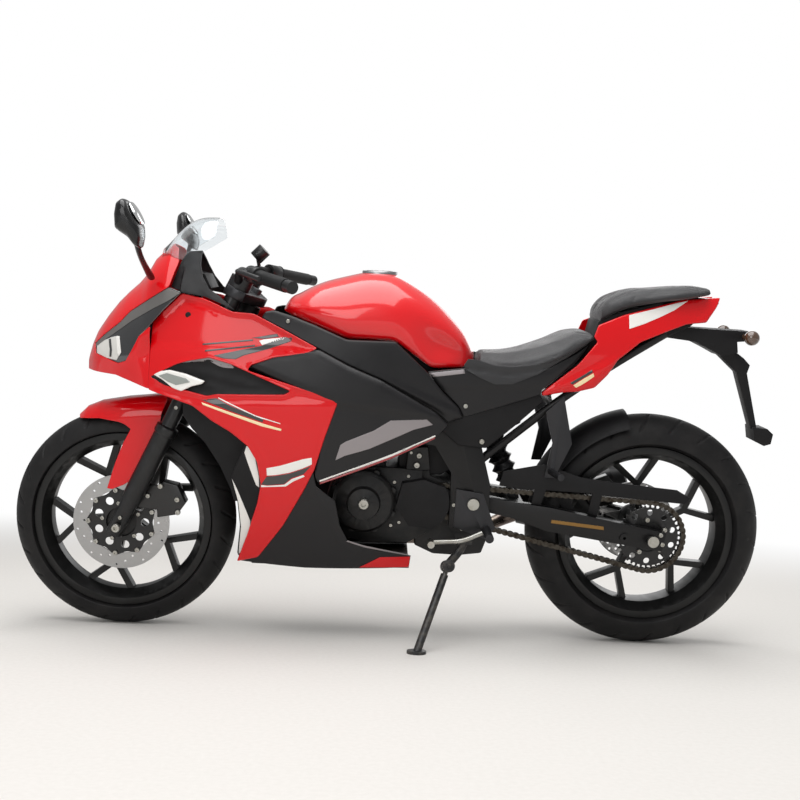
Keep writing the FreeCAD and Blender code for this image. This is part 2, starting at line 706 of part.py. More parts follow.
def build_main_frame():
    """Twin spars from the head tube down to the swingarm pivot plates."""
    body = new_body("main_frame")
    spar = side_pad(body, [
        (352, 812), (396, 716), (300, 690), (150, 606), (20, 560), (-120, 540), (-165, 470), (-165, 330),
        (-186, 296),
        (-262, 296), (-268, 440), (-240, 540), (-196, 640), (-110, 690), (60, 712), (250, 790), (330, 822),
    ], "spar_y", "spar_y + spar_thickness", holes=[("pivot_x", "pivot_z", "pivot_bolt_radius + 0.1")])
    posts = [side_pad(body, [(x, z_low), (x, top + " - mount_gap"), (x + 32, top + " - mount_gap"),
        (x + 32, z_low)],
                      "spar_y", "spar_y + spar_thickness")
             for x, z_low, top in ((40, 680, "tank_floor_z"), (-160, 640, "tank_rear_z"))]
    stub = sketch_on(body, SIDE, "spar_y + spar_thickness")
    ring(stub, 0, 690, 8)
    reach = "tank_cover_half_width - cover_plan_radius + sqrt(cover_plan_radius^2 - fairing_widest_x^2) - panel_wall"
    posts.append(extrude(body, stub, reach + " - panel_gap - 0.8 - spar_y - spar_thickness"))
    mirror(body, [spar] + posts)
    cross_tube = sketch_on(body, SIDE)
    ring(cross_tube, -182, 624, 12)
    extrude(body, cross_tube, "2 * spar_y + 4", both=True)
    cheek = side_pad(body, [(-178, 614), (-178, 636), (-232, 650), ("via", -250, 636), (-236, 622)], 15.3, 23)
    mirror(body, [cheek])
    sections = []
    for z in (712, 808):
        axis_x = "(steering_x - (%s - steering_z) * tan(rake_angle))" % z
        sections.append((z, [
            (axis_x + " - 26", -24), (axis_x + " - 26", 24), (axis_x + " - 82", "spar_y + spar_thickness"),
            (axis_x + " - 108", "spar_y + spar_thickness"), (axis_x + " - 108", "-spar_y - spar_thickness"),
            (axis_x + " - 82", "-spar_y - spar_thickness"),
        ]))
    loft(body, TOP, sections, ruled=True)
    head_tube(body)


def head_tube(body):
    """Tube along the steering axis, between the clamps, turned about that axis."""
    def on_axis(out, up):
        """Side view point at a distance ahead of the steering axis and a height along it."""
        return ("steering_x + %s * cos(rake_angle) - (%s) * sin(rake_angle)" % (out, up),
                "steering_z + %s * sin(rake_angle) + (%s) * cos(rake_angle)" % (out, up))
    low, high = "head_gap + 16", "clamp_spacing - 12 - head_gap"
    inner, outer = "(14 + steering_play)", "31"
    sketch = sketch_on(body, SIDE)
    draw(sketch, [on_axis(inner, low), on_axis(outer, low), on_axis(outer, high), on_axis(inner, high)])
    ends = [on_axis("0", low), on_axis("0", high)]
    spots = [Vector(value(a), value(b), 0) for a, b in ends]
    axis = sketch.addGeometry(Part.LineSegment(*spots), True)
    for end, (a, b) in enumerate(ends, 1):
        for index, text in pin(sketch, axis, end, a, b):
            sketch.setExpression("Constraints[%d]" % index, bound(text))
    spin_sketch(body, sketch, "Axis0")


def build_subframe():
    """Two rails a side from the pivot plates up to the tail, with cross tubes."""
    shapes = []
    near, tail = rail_y(), rail_y() - 8
    for side in (1, -1):
        for route in (
            [(-226, near, 489), (-420, near, 655), (-560, near, 760), (-700, tail, 850)],
            [(-150, near, 652), (-330, near, 690), (-560, near, 800), (-640, near - 5, 840)],
        ):
            shapes.append(tube([(x, side * y, z) for x, y, z in route], "rail_radius"))
    for x, y, z in ((-420, near, 655), (-560, near, 764.9), (-690, tail, 845)):
        shapes.append(Part.makeCylinder(9, 2 * y, Vector(x, -y, z), Vector(0, 1, 0)))
    fixed_shape("rear_subframe", shapes[0].multiFuse(shapes[1:]))


def rail_y():
    """Seat rails lie just inside the pivot plates that they bolt to."""
    return value("spar_y - rail_radius - mount_gap")


def build_swingarm():
    """Box arms that flare out past the tyre, joined by the pivot tube and a brace."""
    body = new_body("swingarm", "swingarm")
    tools = []
    tool = loft(body, FRONT, [
        (8, box_section(62, 92, 19)), (-110, box_section(72, 100, 21)), (-200, box_section(99, 127, 31)),
        ("-swingarm_length - 34", box_section(99, 125, 25)),
    ], ruled=True)
    mirror(body, [tool])
    spin(body, TOP, [(-20, -98), (-20, 98), (-11, 98), (-11, -98)], "V_Axis")
    brace = sketch_on(body, SIDE)
    draw(brace, [(-96, -20), (-96, 20), (-136, 20), (-136, -20)])
    extrude(body, brace, 170, both=True)
    cheek = side_pad(body, [(-96, 16), (-98, 46), ("via", -110, 54), (-122, 46), (-130, 16)], 15.3, 23)
    mirror(body, [cheek])
    spool = sketch_on(body, SIDE, 124.5)
    ring(spool, "72 - swingarm_length", -8, 12)
    mirror(body, [extrude(body, spool, 8.5)])
    thread = sketch_on(body, SIDE, 133)
    ring(thread, "72 - swingarm_length", -8, "spool_thread_radius")
    mirror(body, [extrude(body, thread, 18, cut=True, flip=True)])
    bore(body, 0, 0, "pivot_bolt_radius + 0.1")
    bore(body, "-swingarm_length", 0, "axle_radius + 0.05")


def box_section(y_near, y_far, half_height):
    return [(y_near, -half_height), (y_far, -half_height), (y_far, half_height), (y_near, half_height)]


def build_spindles():
    """Rear axle and swingarm pivot bolt, each with a nut on both ends."""
    shapes = []
    for centre, radius, reach in (
        (rear_axle(), "axle_radius", "rear_axle_length / 2"),
        (Vector(value("pivot_x"), 0, value("pivot_z")), "pivot_bolt_radius", "spar_y + spar_thickness + 4"),
    ):
        half, size = value(reach), value(radius)
        rod = Part.makeCylinder(size, 2 * half, centre - Vector(0, half, 0), Vector(0, 1, 0))
        for side in (1, -1):
            nut = Part.makeCylinder(size + 6, 9, centre + Vector(0, side * half, 0), Vector(0, side, 0))
            rod = rod.fuse(nut)
        shapes.append(rod.removeSplitter())
    fixed_shape("rear_spindles", Part.makeCompound(shapes))


def build_chain():
    """Roller chain round both sprockets: two rows of waisted link plates on a band of rollers."""
    length = chain_spot(None, 0)
    links = round(length / value("chain_pitch"))
    pitch, half = length / links, value("chain_height / 2")
    width, plate = value("chain_width"), value("link_plate")
    plates, rollers = (link_wires(links, pitch, half * peak, half * waist) for peak, waist in ((1, 0.62),
        (0.72, 0.45)))
    low = value("chain_y") - width / 2
    rows = [(plates, low, plate), (rollers, low + plate, width - 2 * plate),
        (plates, low + width - plate, plate)]
    layers = []
    for (outer, inner), start, thickness in rows:
        face = Part.Face(outer).cut(Part.Face(inner))
        face.translate(Vector(0, start, 0))
        layers.append(face.extrude(Vector(0, thickness, 0)))
    fixed_shape("chain", layers[0].fuse(layers[1:]))


def link_wires(links, pitch, peak, waist):
    """Outer and inner outline of a row of plates: an arc over each pin, from waist to waist."""
    wires = []
    for side in (1, -1):
        edges = []
        for link in range(links):
            ends = [chain_spot((link + share) * pitch, side * waist) for share in (0, 1)]
            over = chain_spot((link + 0.5) * pitch, side * peak)
            edges.append(Part.Arc(ends[0], over, ends[1]).toShape())
        wires.append(Part.Wire(edges))
    return wires


def chain_spot(along, out):
    """Point a distance along the closed line of the pins, moved outwards; with no distance, the line's length."""
    rear, front = rear_axle(), Vector(value("drive_x"), 0, value("drive_z"))
    middle = value("chain_clearance + chain_height / 2")
    rear_radius, front_radius = value("sprocket_radius") + middle, value("drive_sprocket_radius") + middle
    gap = front - rear
    tilt, lean = math.atan2(gap.z, gap.x), math.asin((rear_radius - front_radius) / gap.Length)
    straight = gap.Length * math.cos(lean)
    front_arc, rear_arc = front_radius * (math.pi - 2 * lean), rear_radius * (math.pi + 2 * lean)
    if along is None:
        return 2 * straight + front_arc + rear_arc
    along %= 2 * straight + front_arc + rear_arc
    top, bottom = tilt + math.pi / 2 - lean, tilt - math.pi / 2 + lean

    def ray(angle, length):
        return Vector(math.cos(angle), 0, math.sin(angle)) * length

    if along < straight:
        return rear + ray(top, rear_radius + out) + ray(top - math.pi / 2, along)
    along -= straight
    if along < front_arc:
        return front + ray(top - along / front_radius, front_radius + out)
    along -= front_arc
    if along < straight:
        return front + ray(bottom, front_radius + out) + ray(bottom - math.pi / 2, along)
    return rear + ray(bottom - (along - straight) / rear_radius, rear_radius + out)


def build_chain_guard():
    """Guard over the upper run, on two tabs that stand on the left arm."""
    body = new_body("chain_guard", "swingarm")
    side_pad(body, [
        (-58, 58), (-60, 97), (-160, 136), (-262, 122), (-356, 126), (-515, 139), (-554, 125), (-545, 107),
        (-326, 86), (-326, 28.9), (-300, 29.4), (-300, 86), (-180, 70), (-175, 28.6), (-150, 25.8),
        (-150, 66),
        (-121, 60),
    ], "chain_y + chain_width / 2 + 6", "chain_y + chain_width / 2 + 12")


def build_hugger():
    """Mudguard close over the front of the rear tyre, with a stay down to each swingarm arm."""
    body = new_body("rear_hugger", "hugger")
    half = "rear_tyre_width / 2 + 6"
    arch(body, half, "rear_tyre_radius + hugger_gap", 40, 3, "hugger_sweep")
    stay = side_pad(body, [(92, 278), (128, 266), (150, 140), (124, 136)], half, half + " + 3")
    foot = side_pad(body, [(150, 140), (124, 136), (121, 154), (147, 158)], half + " + 2", 98.7)
    mirror(body, [stay, foot])


def build_rear_caliper():
    body = new_body("rear_caliper", "rear_wheel")
    low, high = "-(99 - mount_gap)", "-rear_disc_y + 10"
    side_pad(body, [(62, 46), (54, 96), (84, 128), (122, 112), (136, 66), (120, 34)], low, high)
    spin(body, FRONT, [
        ("-rear_disc_y - disc_thickness - 1.5", 40), ("-rear_disc_y + 1.5", 40),
        ("-rear_disc_y + 1.5", "rear_disc_radius + 3"), ("-rear_disc_y - disc_thickness - 1.5",
        "rear_disc_radius + 3"),
    ], "H_Axis", cut=True)


def build_shock():
    """Monoshock ahead of the rear tyre: damper, spring coils and an eye at each end."""
    foot, head = Vector(-340, 0, 412), Vector(-236, 0, 636)
    axis = head - foot
    length = axis.Length
    profile = [Vector(0, 0, 0), Vector(12, 0, 0), Vector(12, 0, 22)]
    coils, pitch = 7, (length - 60) / 7
    for turn in range(coils):
        z = 30 + turn * pitch
        profile += [Vector(26, 0, z), Vector(33, 0, z + pitch * 0.25), Vector(26, 0, z + pitch * 0.5),
                    Vector(22, 0, z + pitch * 0.75)]
    profile += [Vector(24, 0, length - 28), Vector(24, 0, length - 22), Vector(12, 0, length - 20),
                Vector(12, 0, length), Vector(0, 0, length)]
    solid = Part.Face(Part.makePolygon(profile + [profile[0]])).revolve(Vector(), Vector(0, 0, 1), 360)
    solid.Placement = Placement(foot, Rotation(Vector(0, 0, 1), axis))
    eyes = [Part.makeCylinder(14, 30, end - Vector(0, 15, 0), Vector(0, 1, 0)) for end in (foot, head)]
    fixed_shape("rear_shock", Part.makeCompound([solid]).fuse(eyes).removeSplitter())


def build_running_gear():
    build_main_frame()
    build_subframe()
    build_swingarm()
    build_spindles()
    build_chain()
    build_chain_guard()
    build_hugger()
    build_rear_caliper()
    build_shock()


# ---------------------------------------------------------------- engine

def build_engine():
    """Crankcase, forward leaning cylinder and head."""
    body = new_body("engine")
    case = sketch_on(body, SIDE)
    draw(case, [
        (-118, 310), (-60, 276), (60, 272), (128, 294), ("via", 156, 350), (140, 424), (92, 470), (-20, 474),
        (-110, 468), (-126, 400),
    ])
    extrude(body, case, "2 * case_half_width", both=True)
    chain_side = "chain_y - chain_width / 2 - 4"
    side_cut(body, [(-92, 330), (-92, 480), (-140, 480), (-140, 330)], chain_side, "case_half_width + 1")
    gearbox = sketch_on(body, SIDE)
    draw(gearbox, [(-80, 300), (-160, 350), ("via", -188, "drive_z"), (-160, 436), (-80, 466)])
    extrude(body, gearbox, "2 * (%s)" % chain_side, both=True)
    spin_about(body, "drive_x", "drive_z", [(chain_side, 15), ("chain_y - 3", 15), (
        "chain_y - 3", "drive_sprocket_radius"), ("chain_y + 3", "drive_sprocket_radius"),
        ("chain_y + 3", 15),
        ("chain_y + 6", 12), ("chain_y + 6", 0), (chain_side, 0)])
    barrel = sketch_on(body, SIDE)
    draw(barrel, [(0, 470), (128, 425), (196, 600), (80, 645)])
    extrude(body, barrel, 150, both=True)
    head = sketch_on(body, SIDE)
    draw(head, [(72, 600), (206, 556), (238, 640), (214, 676), (120, 704), (94, 690)])
    extrude(body, head, 170, both=True)


def cover(x, z, side, profile):
    """Round engine cover, turned about its own axis; side is 1 for left, -1 for right."""
    face = Part.Face(Part.makePolygon([Vector(r, side * y, 0) for r, y in profile + profile[:1]]))
    solid = face.revolve(Vector(), Vector(0, 1, 0), 360)
    solid.translate(Vector(x, 0, z))
    return solid


def build_covers():
    """Generator cover on the left, clutch cover on the right."""
    wall = value("case_half_width")
    generator = [(0, 0), (80, 0), (80, 32), (72, 42), (44, 46), (40, 62), (14, 64), (14, 70), (0, 70)]
    clutch = [(0, 0), (86, 0), (86, 36), (76, 46), (30, 50), (26, 54), (0, 54)]
    covers = []
    for x, z, side, profile in ((58, 388, 1, generator), (-10, 384, -1, clutch)):
        solid = cover(x, z, side, [(r, wall + out) for r, out in profile])
        rim = profile[1][0]
        for bolt in range(8):
            turn = math.radians(22.5 + 45 * bolt)
            spot = Vector(x + rim * math.sin(turn), side * wall, z + rim * math.cos(turn))
            solid = solid.fuse(Part.makeCylinder(8, 26, spot, Vector(0, side, 0)))
        covers.append(solid.removeSplitter())
    fixed_shape("engine_covers", Part.makeCompound(covers))
    body = new_body("sprocket_cover")
    side_pad(body, [
        (-152, 352), ("via", -163, 392), (-152, 432), (-96, 452), (-40, 440), (-26, 380), (-60, 330),
        (-120, 322),
    ], "chain_y + chain_width / 2 + 6", "chain_y + chain_width / 2 + 34")
    side_pad(body, [(-88, 448), (-40, 440), (-26, 380), (-60, 330),
        (-84, 327)], "case_half_width + mount_gap",
             "chain_y + chain_width / 2 + 6")


def build_radiator():
    body = new_body("radiator")
    side_pad(body, [(326, 452), (362, 446), (398, 660), (362, 668)], -135, 135)
    tab = side_pad(body, [(366, 660), (384, 656), (384, 712.4), (366, 707.6)], "spar_y + 4", "spar_y + 14")
    mirror(body, [tab])


def build_exhaust():
    """Header down behind the front wheel, back under the engine and out to the silencer."""
    pipe = tube([
        (223.6, -30, 599.8), (265.6, -30, 583.8), (296, -34, 500), (278, -50, 330), (200, -64, 250),
        (0, -80, 244),
        (-150, -96, 244), (-270, -150, 256), (-333, -188.7, 276.9), (-372, -190, 292),
    ], 19)
    fixed_shape("exhaust_pipe", pipe)
    axis = Vector(-300, -10, 116).normalize()
    start = Vector(-372, -190, 292) + axis * 0.3
    profile = [(0, 0), (24, 0), (52, 46), (52, 300), (40, 332), (22, 340), (22, 300), (0, 300)]
    face = Part.Face(Part.makePolygon([Vector(r, 0, z) for r, z in profile + profile[:1]]))
    solid = face.revolve(Vector(), Vector(0, 0, 1), 360)
    solid.Placement = Placement(start, Rotation(Vector(0, 0, 1), axis))
    fixed_shape("silencer", solid)


def build_power():
    build_engine()
    build_covers()
    build_radiator()
    build_exhaust()


# ---------------------------------------------------------------- tank and seats

def dome(x, half_width, base, shoulder, top):
    """Section across the bike: flat base, rounded sides and a crowned top."""
    return x, [
        ("-(%s) * 0.86" % half_width, base), ("via", "-(%s)" % half_width, "(%s + %s) / 2" % (base,
        shoulder)),
        ("-(%s) * 0.9" % half_width, shoulder), ("via", 0, top), ("(%s) * 0.9" % half_width, shoulder),
        ("via", half_width, "(%s + %s) / 2" % (base, shoulder)), ("(%s) * 0.86" % half_width, base),
    ]


def build_tank():
    """Tank: a loft of crowned sections, cut away underneath along the frame."""
    body = new_body("fuel_tank")
    loft(body, FRONT, [dome(*row) for row in (
        # x, half width, base, shoulder, top
        (-213, 84, 730, 755, 782),
        (-150, 132, 728, 830, 874),
        (-60, 166, 728, 890, 944),
        (40, 176, 728, 905, 973),
        (150, 166, 728, 885, 956),
        (240, 138, 728, 862, 915),
        (284, 108, 728, 845, 872),
    )])
    side_cut(body, [
        (-240, 700), (-240, "tank_rear_z"), (-100, "tank_rear_z"), (-5, "tank_floor_z"),
        (115, "tank_floor_z"),
        (196, 836), (256, 856), (300, 872), (320, 700),
    ], -300, 300)
    collar = sketch_on(body, TOP, "filler_z")
    ring(collar, "filler_x", 0, "lid_radius + 10")
    extrude(body, collar, "collar_height")


def build_fuel_lid():
    """Flush filler cap lid on the tank's collar."""
    base = Vector(value("filler_x"), 0, value("filler_z + collar_height + lid_gap"))
    pivot = lid_hinge()
    barrel = Part.makeCylinder(4, 24, pivot - Vector(0, 12, 0), Vector(0, 1, 0))
    ear = Part.makeBox(14, 18, 4, Vector(pivot.x - 14, -9, pivot.z - 3))
    lid = Part.makeCylinder(value("lid_radius"), 6, base).fuse([barrel, ear])
    pin_hole = Part.makeCylinder(1.6, 60, pivot - Vector(0, 30, 0), Vector(0, 1, 0))
    fixed_shape("fuel_lid", lid.cut(pin_hole).removeSplitter())


def lid_hinge():
    """Hinge pin of the lid, just ahead of its rim."""
    return Vector(value("filler_x + lid_radius + 4"), 0, value("filler_z + collar_height + lid_gap") + 4.6)


RIDER_SEAT = (          # x, half width, base, shoulder, top
    (-222, 80, 738, 760, 778),
    (-300, 124, 738, 764, 782),
    (-400, 142, 760, 792, 812),
    (-470, 134, 800, 824, 842),
    (-518, 108, 828, 838, 850),
)
PASSENGER_SEAT = (
    (-528, 78, 874, 890, 902),
    (-560, 98, 893, 926, 945),
    (-670, 100, 925, 950, 963),
    (-790, 76, 952, 968, 978),
    (-828, 60, 956, 964, 970),
)


def build_seats():
    for name, rows in (("rider_seat", RIDER_SEAT), ("passenger_seat", PASSENGER_SEAT)):
        loft(new_body(name), FRONT, [dome(*row) for row in rows], ruled=True)


def build_tail_tray():
    """Moulded tray between the rails that carries both seats."""
    body = new_body("tail_tray")
    top = [(row[0], "%s - seat_gap" % row[2]) for row in RIDER_SEAT + PASSENGER_SEAT[:4]]
    side_pad(body, top + [
        (-796, 906), (-700, 872), (-640, 846), (-560, 776), (-440, 700), (-222, 668),
    ], "-tray_half_width", "tray_half_width")
    for low, high in (("tray_rear_half_width", "tray_half_width + 1"),
        ("-tray_half_width - 1", "-tray_rear_half_width")):
        side_cut(body, [(-690, 800), (-690, 1000), (-820, 1000), (-820, 800)], low, high)


# ---------------------------------------------------------------- bodywork

def panel(name, outline, half_width, widest_x, widest_z, plan_radius, side_radius, holes=(), mirrored=True):
    """Moulded side panel: a barrel-shaped wall about an upright axis, trimmed to a side view outline."""
    body = new_body(name)
    reach = min(430, 0.8 * value(side_radius))
    low, high = value(widest_z) - reach, value(widest_z) + reach

    def wall_y(z, inset):
        """Distance out from the middle plane at a height: a circle of side_radius through the widest point."""
        return "(%s) - %s - (%s) + sqrt((%s)^2 - (%s - (%s))^2)" % (
            half_width, inset, side_radius, side_radius, z, widest_z)

    sketch = sketch_on(body, FRONT, widest_x)
    draw(sketch, [
        (wall_y(low, 0), low), ("via", half_width, widest_z), (wall_y(high, 0), high),
        (wall_y(high, "panel_wall"), high), ("via", "(%s) - panel_wall" % half_width, widest_z),
        (wall_y(low, "panel_wall"), low),
    ])
    axis_line(sketch, "(%s) - (%s)" % (half_width, plan_radius))
    spin_sketch(body, sketch, "Axis0", "2 * asin(680 / (%s))" % plan_radius)
    trim(body, outline, holes)
    if mirrored:
        twin(body)
    return body


def axis_line(sketch, a):
    """Upright construction line that a profile turns about."""
    line = sketch.addGeometry(Part.LineSegment(Vector(value(a), 100, 0), Vector(value(a), 200, 0)), True)
    for end, height in ((1, 100), (2, 200)):
        for index, text in pin(sketch, line, end, a, height):
            sketch.setExpression("Constraints[%d]" % index, bound(text))


def trim(body, outline, holes=()):
    """Cut away everything outside a side view outline, and its holes."""
    sketch = sketch_on(body, SIDE)
    draw(sketch, [(-1500, -200), (1500, -200), (1500, 1600), (-1500, 1600)])
    for loop in (outline,) + tuple(holes):
        draw(sketch, loop)
    extrude(body, sketch, 2400, both=True, cut=True)


def twin(body):
    """Add the whole body's mirror image across the middle plane."""
    copy = body.newObject("PartDesign::Mirrored", "twin")
    copy.TransformMode = "Whole shape"
    copy.MirrorPlane = ([f for f in body.Origin.OriginFeatures if f.Role == SIDE][0], [""])
    body.Tip = copy
    doc.recompute()


VENT = [(600, 694), (533, 729), (506, 738), (451, 750), (395, 737), (246, 680), (260, 671), (428, 663),
    (452, 657),
        (508, 668), (560, 676)]
SIGNAL = [(581, 702), (559, 713), (523, 713), (458, 690), (508, 670), (542, 677)]
LENS_UPPER = [(564, 916), (666, 850), (694, 820), (739, 785), (766, 761)]
LENS_LOWER = [(762, 736), (690, 720), (667, 728), (649, 759), (633, 794), (603, 825), (573, 860), (531, 905)]


def grown(outline, by):
    """Outline moved out from its middle by about a distance."""
    cx = sum(p[0] for p in outline) / len(outline)
    cz = sum(p[1] for p in outline) / len(outline)
    moved = []
    for x, z in outline:
        reach = math.hypot(x - cx, z - cz)
        moved.append((x + (x - cx) * by / reach, z + (z - cz) * by / reach))
    return moved


def build_side_panels():
    """Painted side fairings, the vents and signals in them, and the plain inner covers."""
    shape = ("fairing_widest_x", "fairing_widest_z", "fairing_front_radius", "fairing_side_radius")
    panel("side_fairings", [
        (603, 825), (573, 860), (531, 904.3), (472, 892), (400, 864), (346, 862), (275, 830), (184, 786),
        (210, 772), (289, 759), (345, 738), (353, 725), (229, 691), (127, 663), (158, 568), (180, 489),
        (206, 432),
        (257, 334), (322, 239), (378, 221), (348, 305), (322, 392), (313, 443), (323, 501), (347, 539),
        (390, 571),
        (438, 596), (488, 630), (604, 662),
    ], "fairing_half_width", *shape, holes=[VENT])
    panel("side_vents", grown(VENT, 5), "fairing_half_width - panel_wall - panel_gap", *shape)
    panel("front_signals", SIGNAL, "fairing_half_width", *shape)
    inner = "fairing_half_width - panel_wall - panel_gap"
    panel("frame_covers", [
        (179, 782), (105, 746), (24, 714), (-57, 669), (-116, 636), (-147, 606), (-119, 578), (172, 453),
        (180, 478),
        (172, 520), (166, 572), (140, 655), (229, 686), (350, 731), (348, 748), (289, 768), (210, 782),
    ], inner, "fairing_widest_x", "fairing_widest_z", "cover_plan_radius", "fairing_side_radius")
    panel("tank_covers", [
        (330, 850), (275, 826), (184, 782), (105, 743), (24, 711), (-57, 666), (-116, 633), (-147, 606),
        (-187, 619), (-173, 646), (-131, 685), (-84, 729), (-5, 802), (115, 802), (196, 832), (256, 852),
        (300, 866),
        (322, 866),
    ], "tank_cover_half_width", "fairing_widest_x", 680, "cover_plan_radius", 420)
    panel("seat_panels", [
        (-86, 727), (-176, 730), (-216, 732), (-300, 733), (-398, 754), (-470, 794), (-506, 819), (-470, 768),
        (-383, 695), (-380, 684), (-187.2, 619.6), (-173.4, 646), (-131.6, 686),
    ], "seat_panel_half_width", -100, 700, 2000, 600)
    panel("tail_panels", [
        (-519, 824), (-509, 836), (-520, 866), (-586, 894), (-672, 918), (-745, 938), (-850, 947),
        (-839, 923),
        (-808, 882), (-753, 876), (-698, 855), (-631, 827), (-574, 780), (-550, 741), (-519, 707),
        (-477, 695),
        (-435, 691), (-387, 680), (-384, 690), (-471, 764),
    ], "tail_half_width", -400, 760, 2000, 420)


def build_belly_pan():
    """Black lower fairing: two sides joined by a floor under the engine."""
    body = panel("belly_pan", [
        (257, 334), (212, 432), (186, 489), (176, 445), (128, 408), (115, 342), (92, 295), (18, 271),
        (-69, 255),
        (-66, 220), (203, 214), (372, 221), (330, 244),
    ], "fairing_half_width - panel_wall - panel_gap", "fairing_widest_x", "fairing_widest_z",
        "cover_plan_radius",
        "fairing_side_radius")
    sketch = sketch_on(body, TOP, 218)
    draw(sketch, [(-66, -130), (-66, 130), (150, 148), (340, 138), (340, -138), (150, -148)])
    extrude(body, sketch, "panel_wall")


NOSE = (                # x, half width, base, shoulder, top
    (380, 200, 560, 740, 990),
    (500, 193, 600, 745, 1012),
    (590, 176, 640, 745, 1011),
    (662, 146, 660, 740, 922),
    (715, 112, 670, 735, 868),
    (768, 64, 680, 725, 794),
    (791, 26, 688, 712, 730),
)


def nose_section(x, half_width, base, shoulder, top, inset):
    """Pointed arch across the nose, drawn smaller by inset."""
    w, low, high = half_width - inset, base, top - inset
    rise = shoulder + 0.62 * (high - shoulder)
    return x, [
        (-0.9 * w, low), (-w, shoulder), ("via", -0.74 * w, rise), (0, high), ("via", 0.74 * w, rise),
        (w, shoulder),
        (0.9 * w, low),
    ]


def nose_piece(name, outline, inset, wall, holes=(), rows=NOSE, seat=None):
    """Shell of the nose's shape, trimmed to a side view outline."""
    body = new_body(name)
    loft(body, FRONT, [nose_section(*row, inset) for row in rows])
    hollow = []
    for x, half_width, base, shoulder, top in rows:
        offset, section = nose_section(x, half_width, base, shoulder, top, inset + wall)
        sketch = sketch_on(body, FRONT, x - wall if x == rows[-1][0] else x)
        section[0] = (section[0][0], base - 40)
        section[-1] = (section[-1][0], base - 40)
        draw(sketch, section)
        hollow.append(sketch)
    doc.recompute()
    hollow_out(body, hollow)
    if seat is not None:
        cowl = []
        for row in NOSE:
            offset, section = nose_section(*row, -seat)
            cowl.append(sketch_on(body, FRONT, offset))
            draw(cowl[-1], section)
        doc.recompute()
        hollow_out(body, cowl)
    trim(body, outline, holes)
    return body


def hollow_out(body, sketches):
    tool = body.newObject("PartDesign::SubtractiveLoft", "hollow")
    tool.Profile = sketches[0]
    tool.Sections = sketches[1:]
    doc.recompute()


def build_nose():
    """Front cowl, the headlights let into it, the inner cowl, the screen and the instruments."""
    lens = LENS_UPPER + LENS_LOWER
    nose_piece("nose_cowl", [
        (608, 818), (608, 668), (646, 676), (696, 690), (800, 690), (840, 900), (700, 1060), (572, 1060),
        (540, 1000),
        (566, 918),
    ] + LENS_UPPER[1:] + LENS_LOWER[:5], 0, 4)
    nose_piece("headlights", lens, 3.6, 16)
    nose_piece("inner_cowl", [
        (536, 1006.5), (504, 1010), (497, 975), (486, 945), (466, 916), (437, 898), (398, 868), (472, 897),
        (531, 905.6),
        (563, 916.4),
    ], 4.3, 4)
    nose_piece("windscreen", [
        (612, 985), (540, 985), (520, 1005), (455, 1046), (455, 1110), (640, 1110),
    ], 0, 3, seat=0.3, rows=(
        (440, 112, 940, 1030, 1097), (480, 110, 940, 1020, 1095), (520, 98, 940, 1005, 1087),
        (560, 78, 940, 995, 1055),
        (600, 44, 940, 985, 1012),
    ))
    body = new_body("instrument_panel")
    side_pad(body, [(470, 916), (486, 950), (538, 962), (548, 936), (500, 906)], -62, 62)
    rake = "rake_angle"
    front = "31 + mount_gap"
    side_pad(body, [
        ("steering_x - 90 * sin(%s) + (%s) * cos(%s)" % (rake, front, rake),
         "steering_z + 90 * cos(%s) + (%s) * sin(%s)" % (rake, front, rake)),
        (512, 812), (530, 912), (508, 912), (492, 830),
        ("steering_x - 130 * sin(%s) + (%s) * cos(%s)" % (rake, front, rake),
         "steering_z + 130 * cos(%s) + (%s) * sin(%s)" % (rake, front, rake)),
    ], -8, 8)
    arm = sketch_on(body, SIDE)
    ring(arm, 512, 850, 7)
    extrude(body, arm, 2 * 147.5, both=True)


def build_mirrors():
    """Stalks from the nose into moulded mirror heads."""
    body = new_body("mirrors")
    full = [(640, 1112), ("via", 628, 1122), (612, 1118), (590, 1060), ("via", 586, 1036), (596, 1024),
        (626, 1036),
            (644, 1064)]
    sections = [(y, shrunk(full, share, 614, 1074)) for y, share in ((286, 0.55), (318, 0.96), (372, 1.0),
        (406, 0.62))]
    loft(body, SIDE, sections)
    stalk = [(y, [(x - 9, z - 7), (x + 9, z - 7), (x + 7, z + 7), (x - 7, z + 7)])
             for y, x, z in ((113, 597, 940), (200, 602, 1006), (296, 611, 1054))]
    loft(body, SIDE, stalk)
    twin(body)


def shrunk(outline, share, x, z):
    """Outline scaled towards a point."""
    small = []
    for spot in outline:
        a, b = spot[-2:]
        small.append(spot[:-2] + (x + (a - x) * share, z + (b - z) * share))
    return small


def build_tail():
    build_tail_tray()
    body = new_body("tail_light")
    side_pad(body, [(-796.3, 907), (-812, 894), (-848, 930), (-846, 944), (-796.3, 944)], -30, 30)
    body = new_body("plate_hanger")
    side_pad(body, [
        (-704, 852), (-716, 858), (-716, 877.3), (-760, 892.9), (-760, 866), (-937, 862), (-940, 838),
        (-900, 834),
        (-904, 806), (-862, 796), (-830, 812), (-790, 830), (-712, 838),
    ], -44, 44)
    side_pad(body, [
        (-904, 808), (-930, 790), (-948, 772), (-942, 750), (-980, 606), (-966, 602), (-914, 752),
        (-862, 798),
    ], -17, 17)
    side_pad(body, [(-966, 608), (-1004, 606), (-1020, 592), (-1016, 566), (-998, 560), (-972, 572)], -34, 34)
    shapes = []
    for side in (1, -1):
        stalk = tube([(-918, side * 44.3, 849), (-918, side * 70, 849), (-916, side * 106, 850)], 7)
        lens = Part.makeSphere(19, Vector(-912, side * 116, 850))
        shapes.append(stalk.fuse(lens))
    fixed_shape("rear_signals", Part.makeCompound(shapes))


# ---------------------------------------------------------------- feet and stand

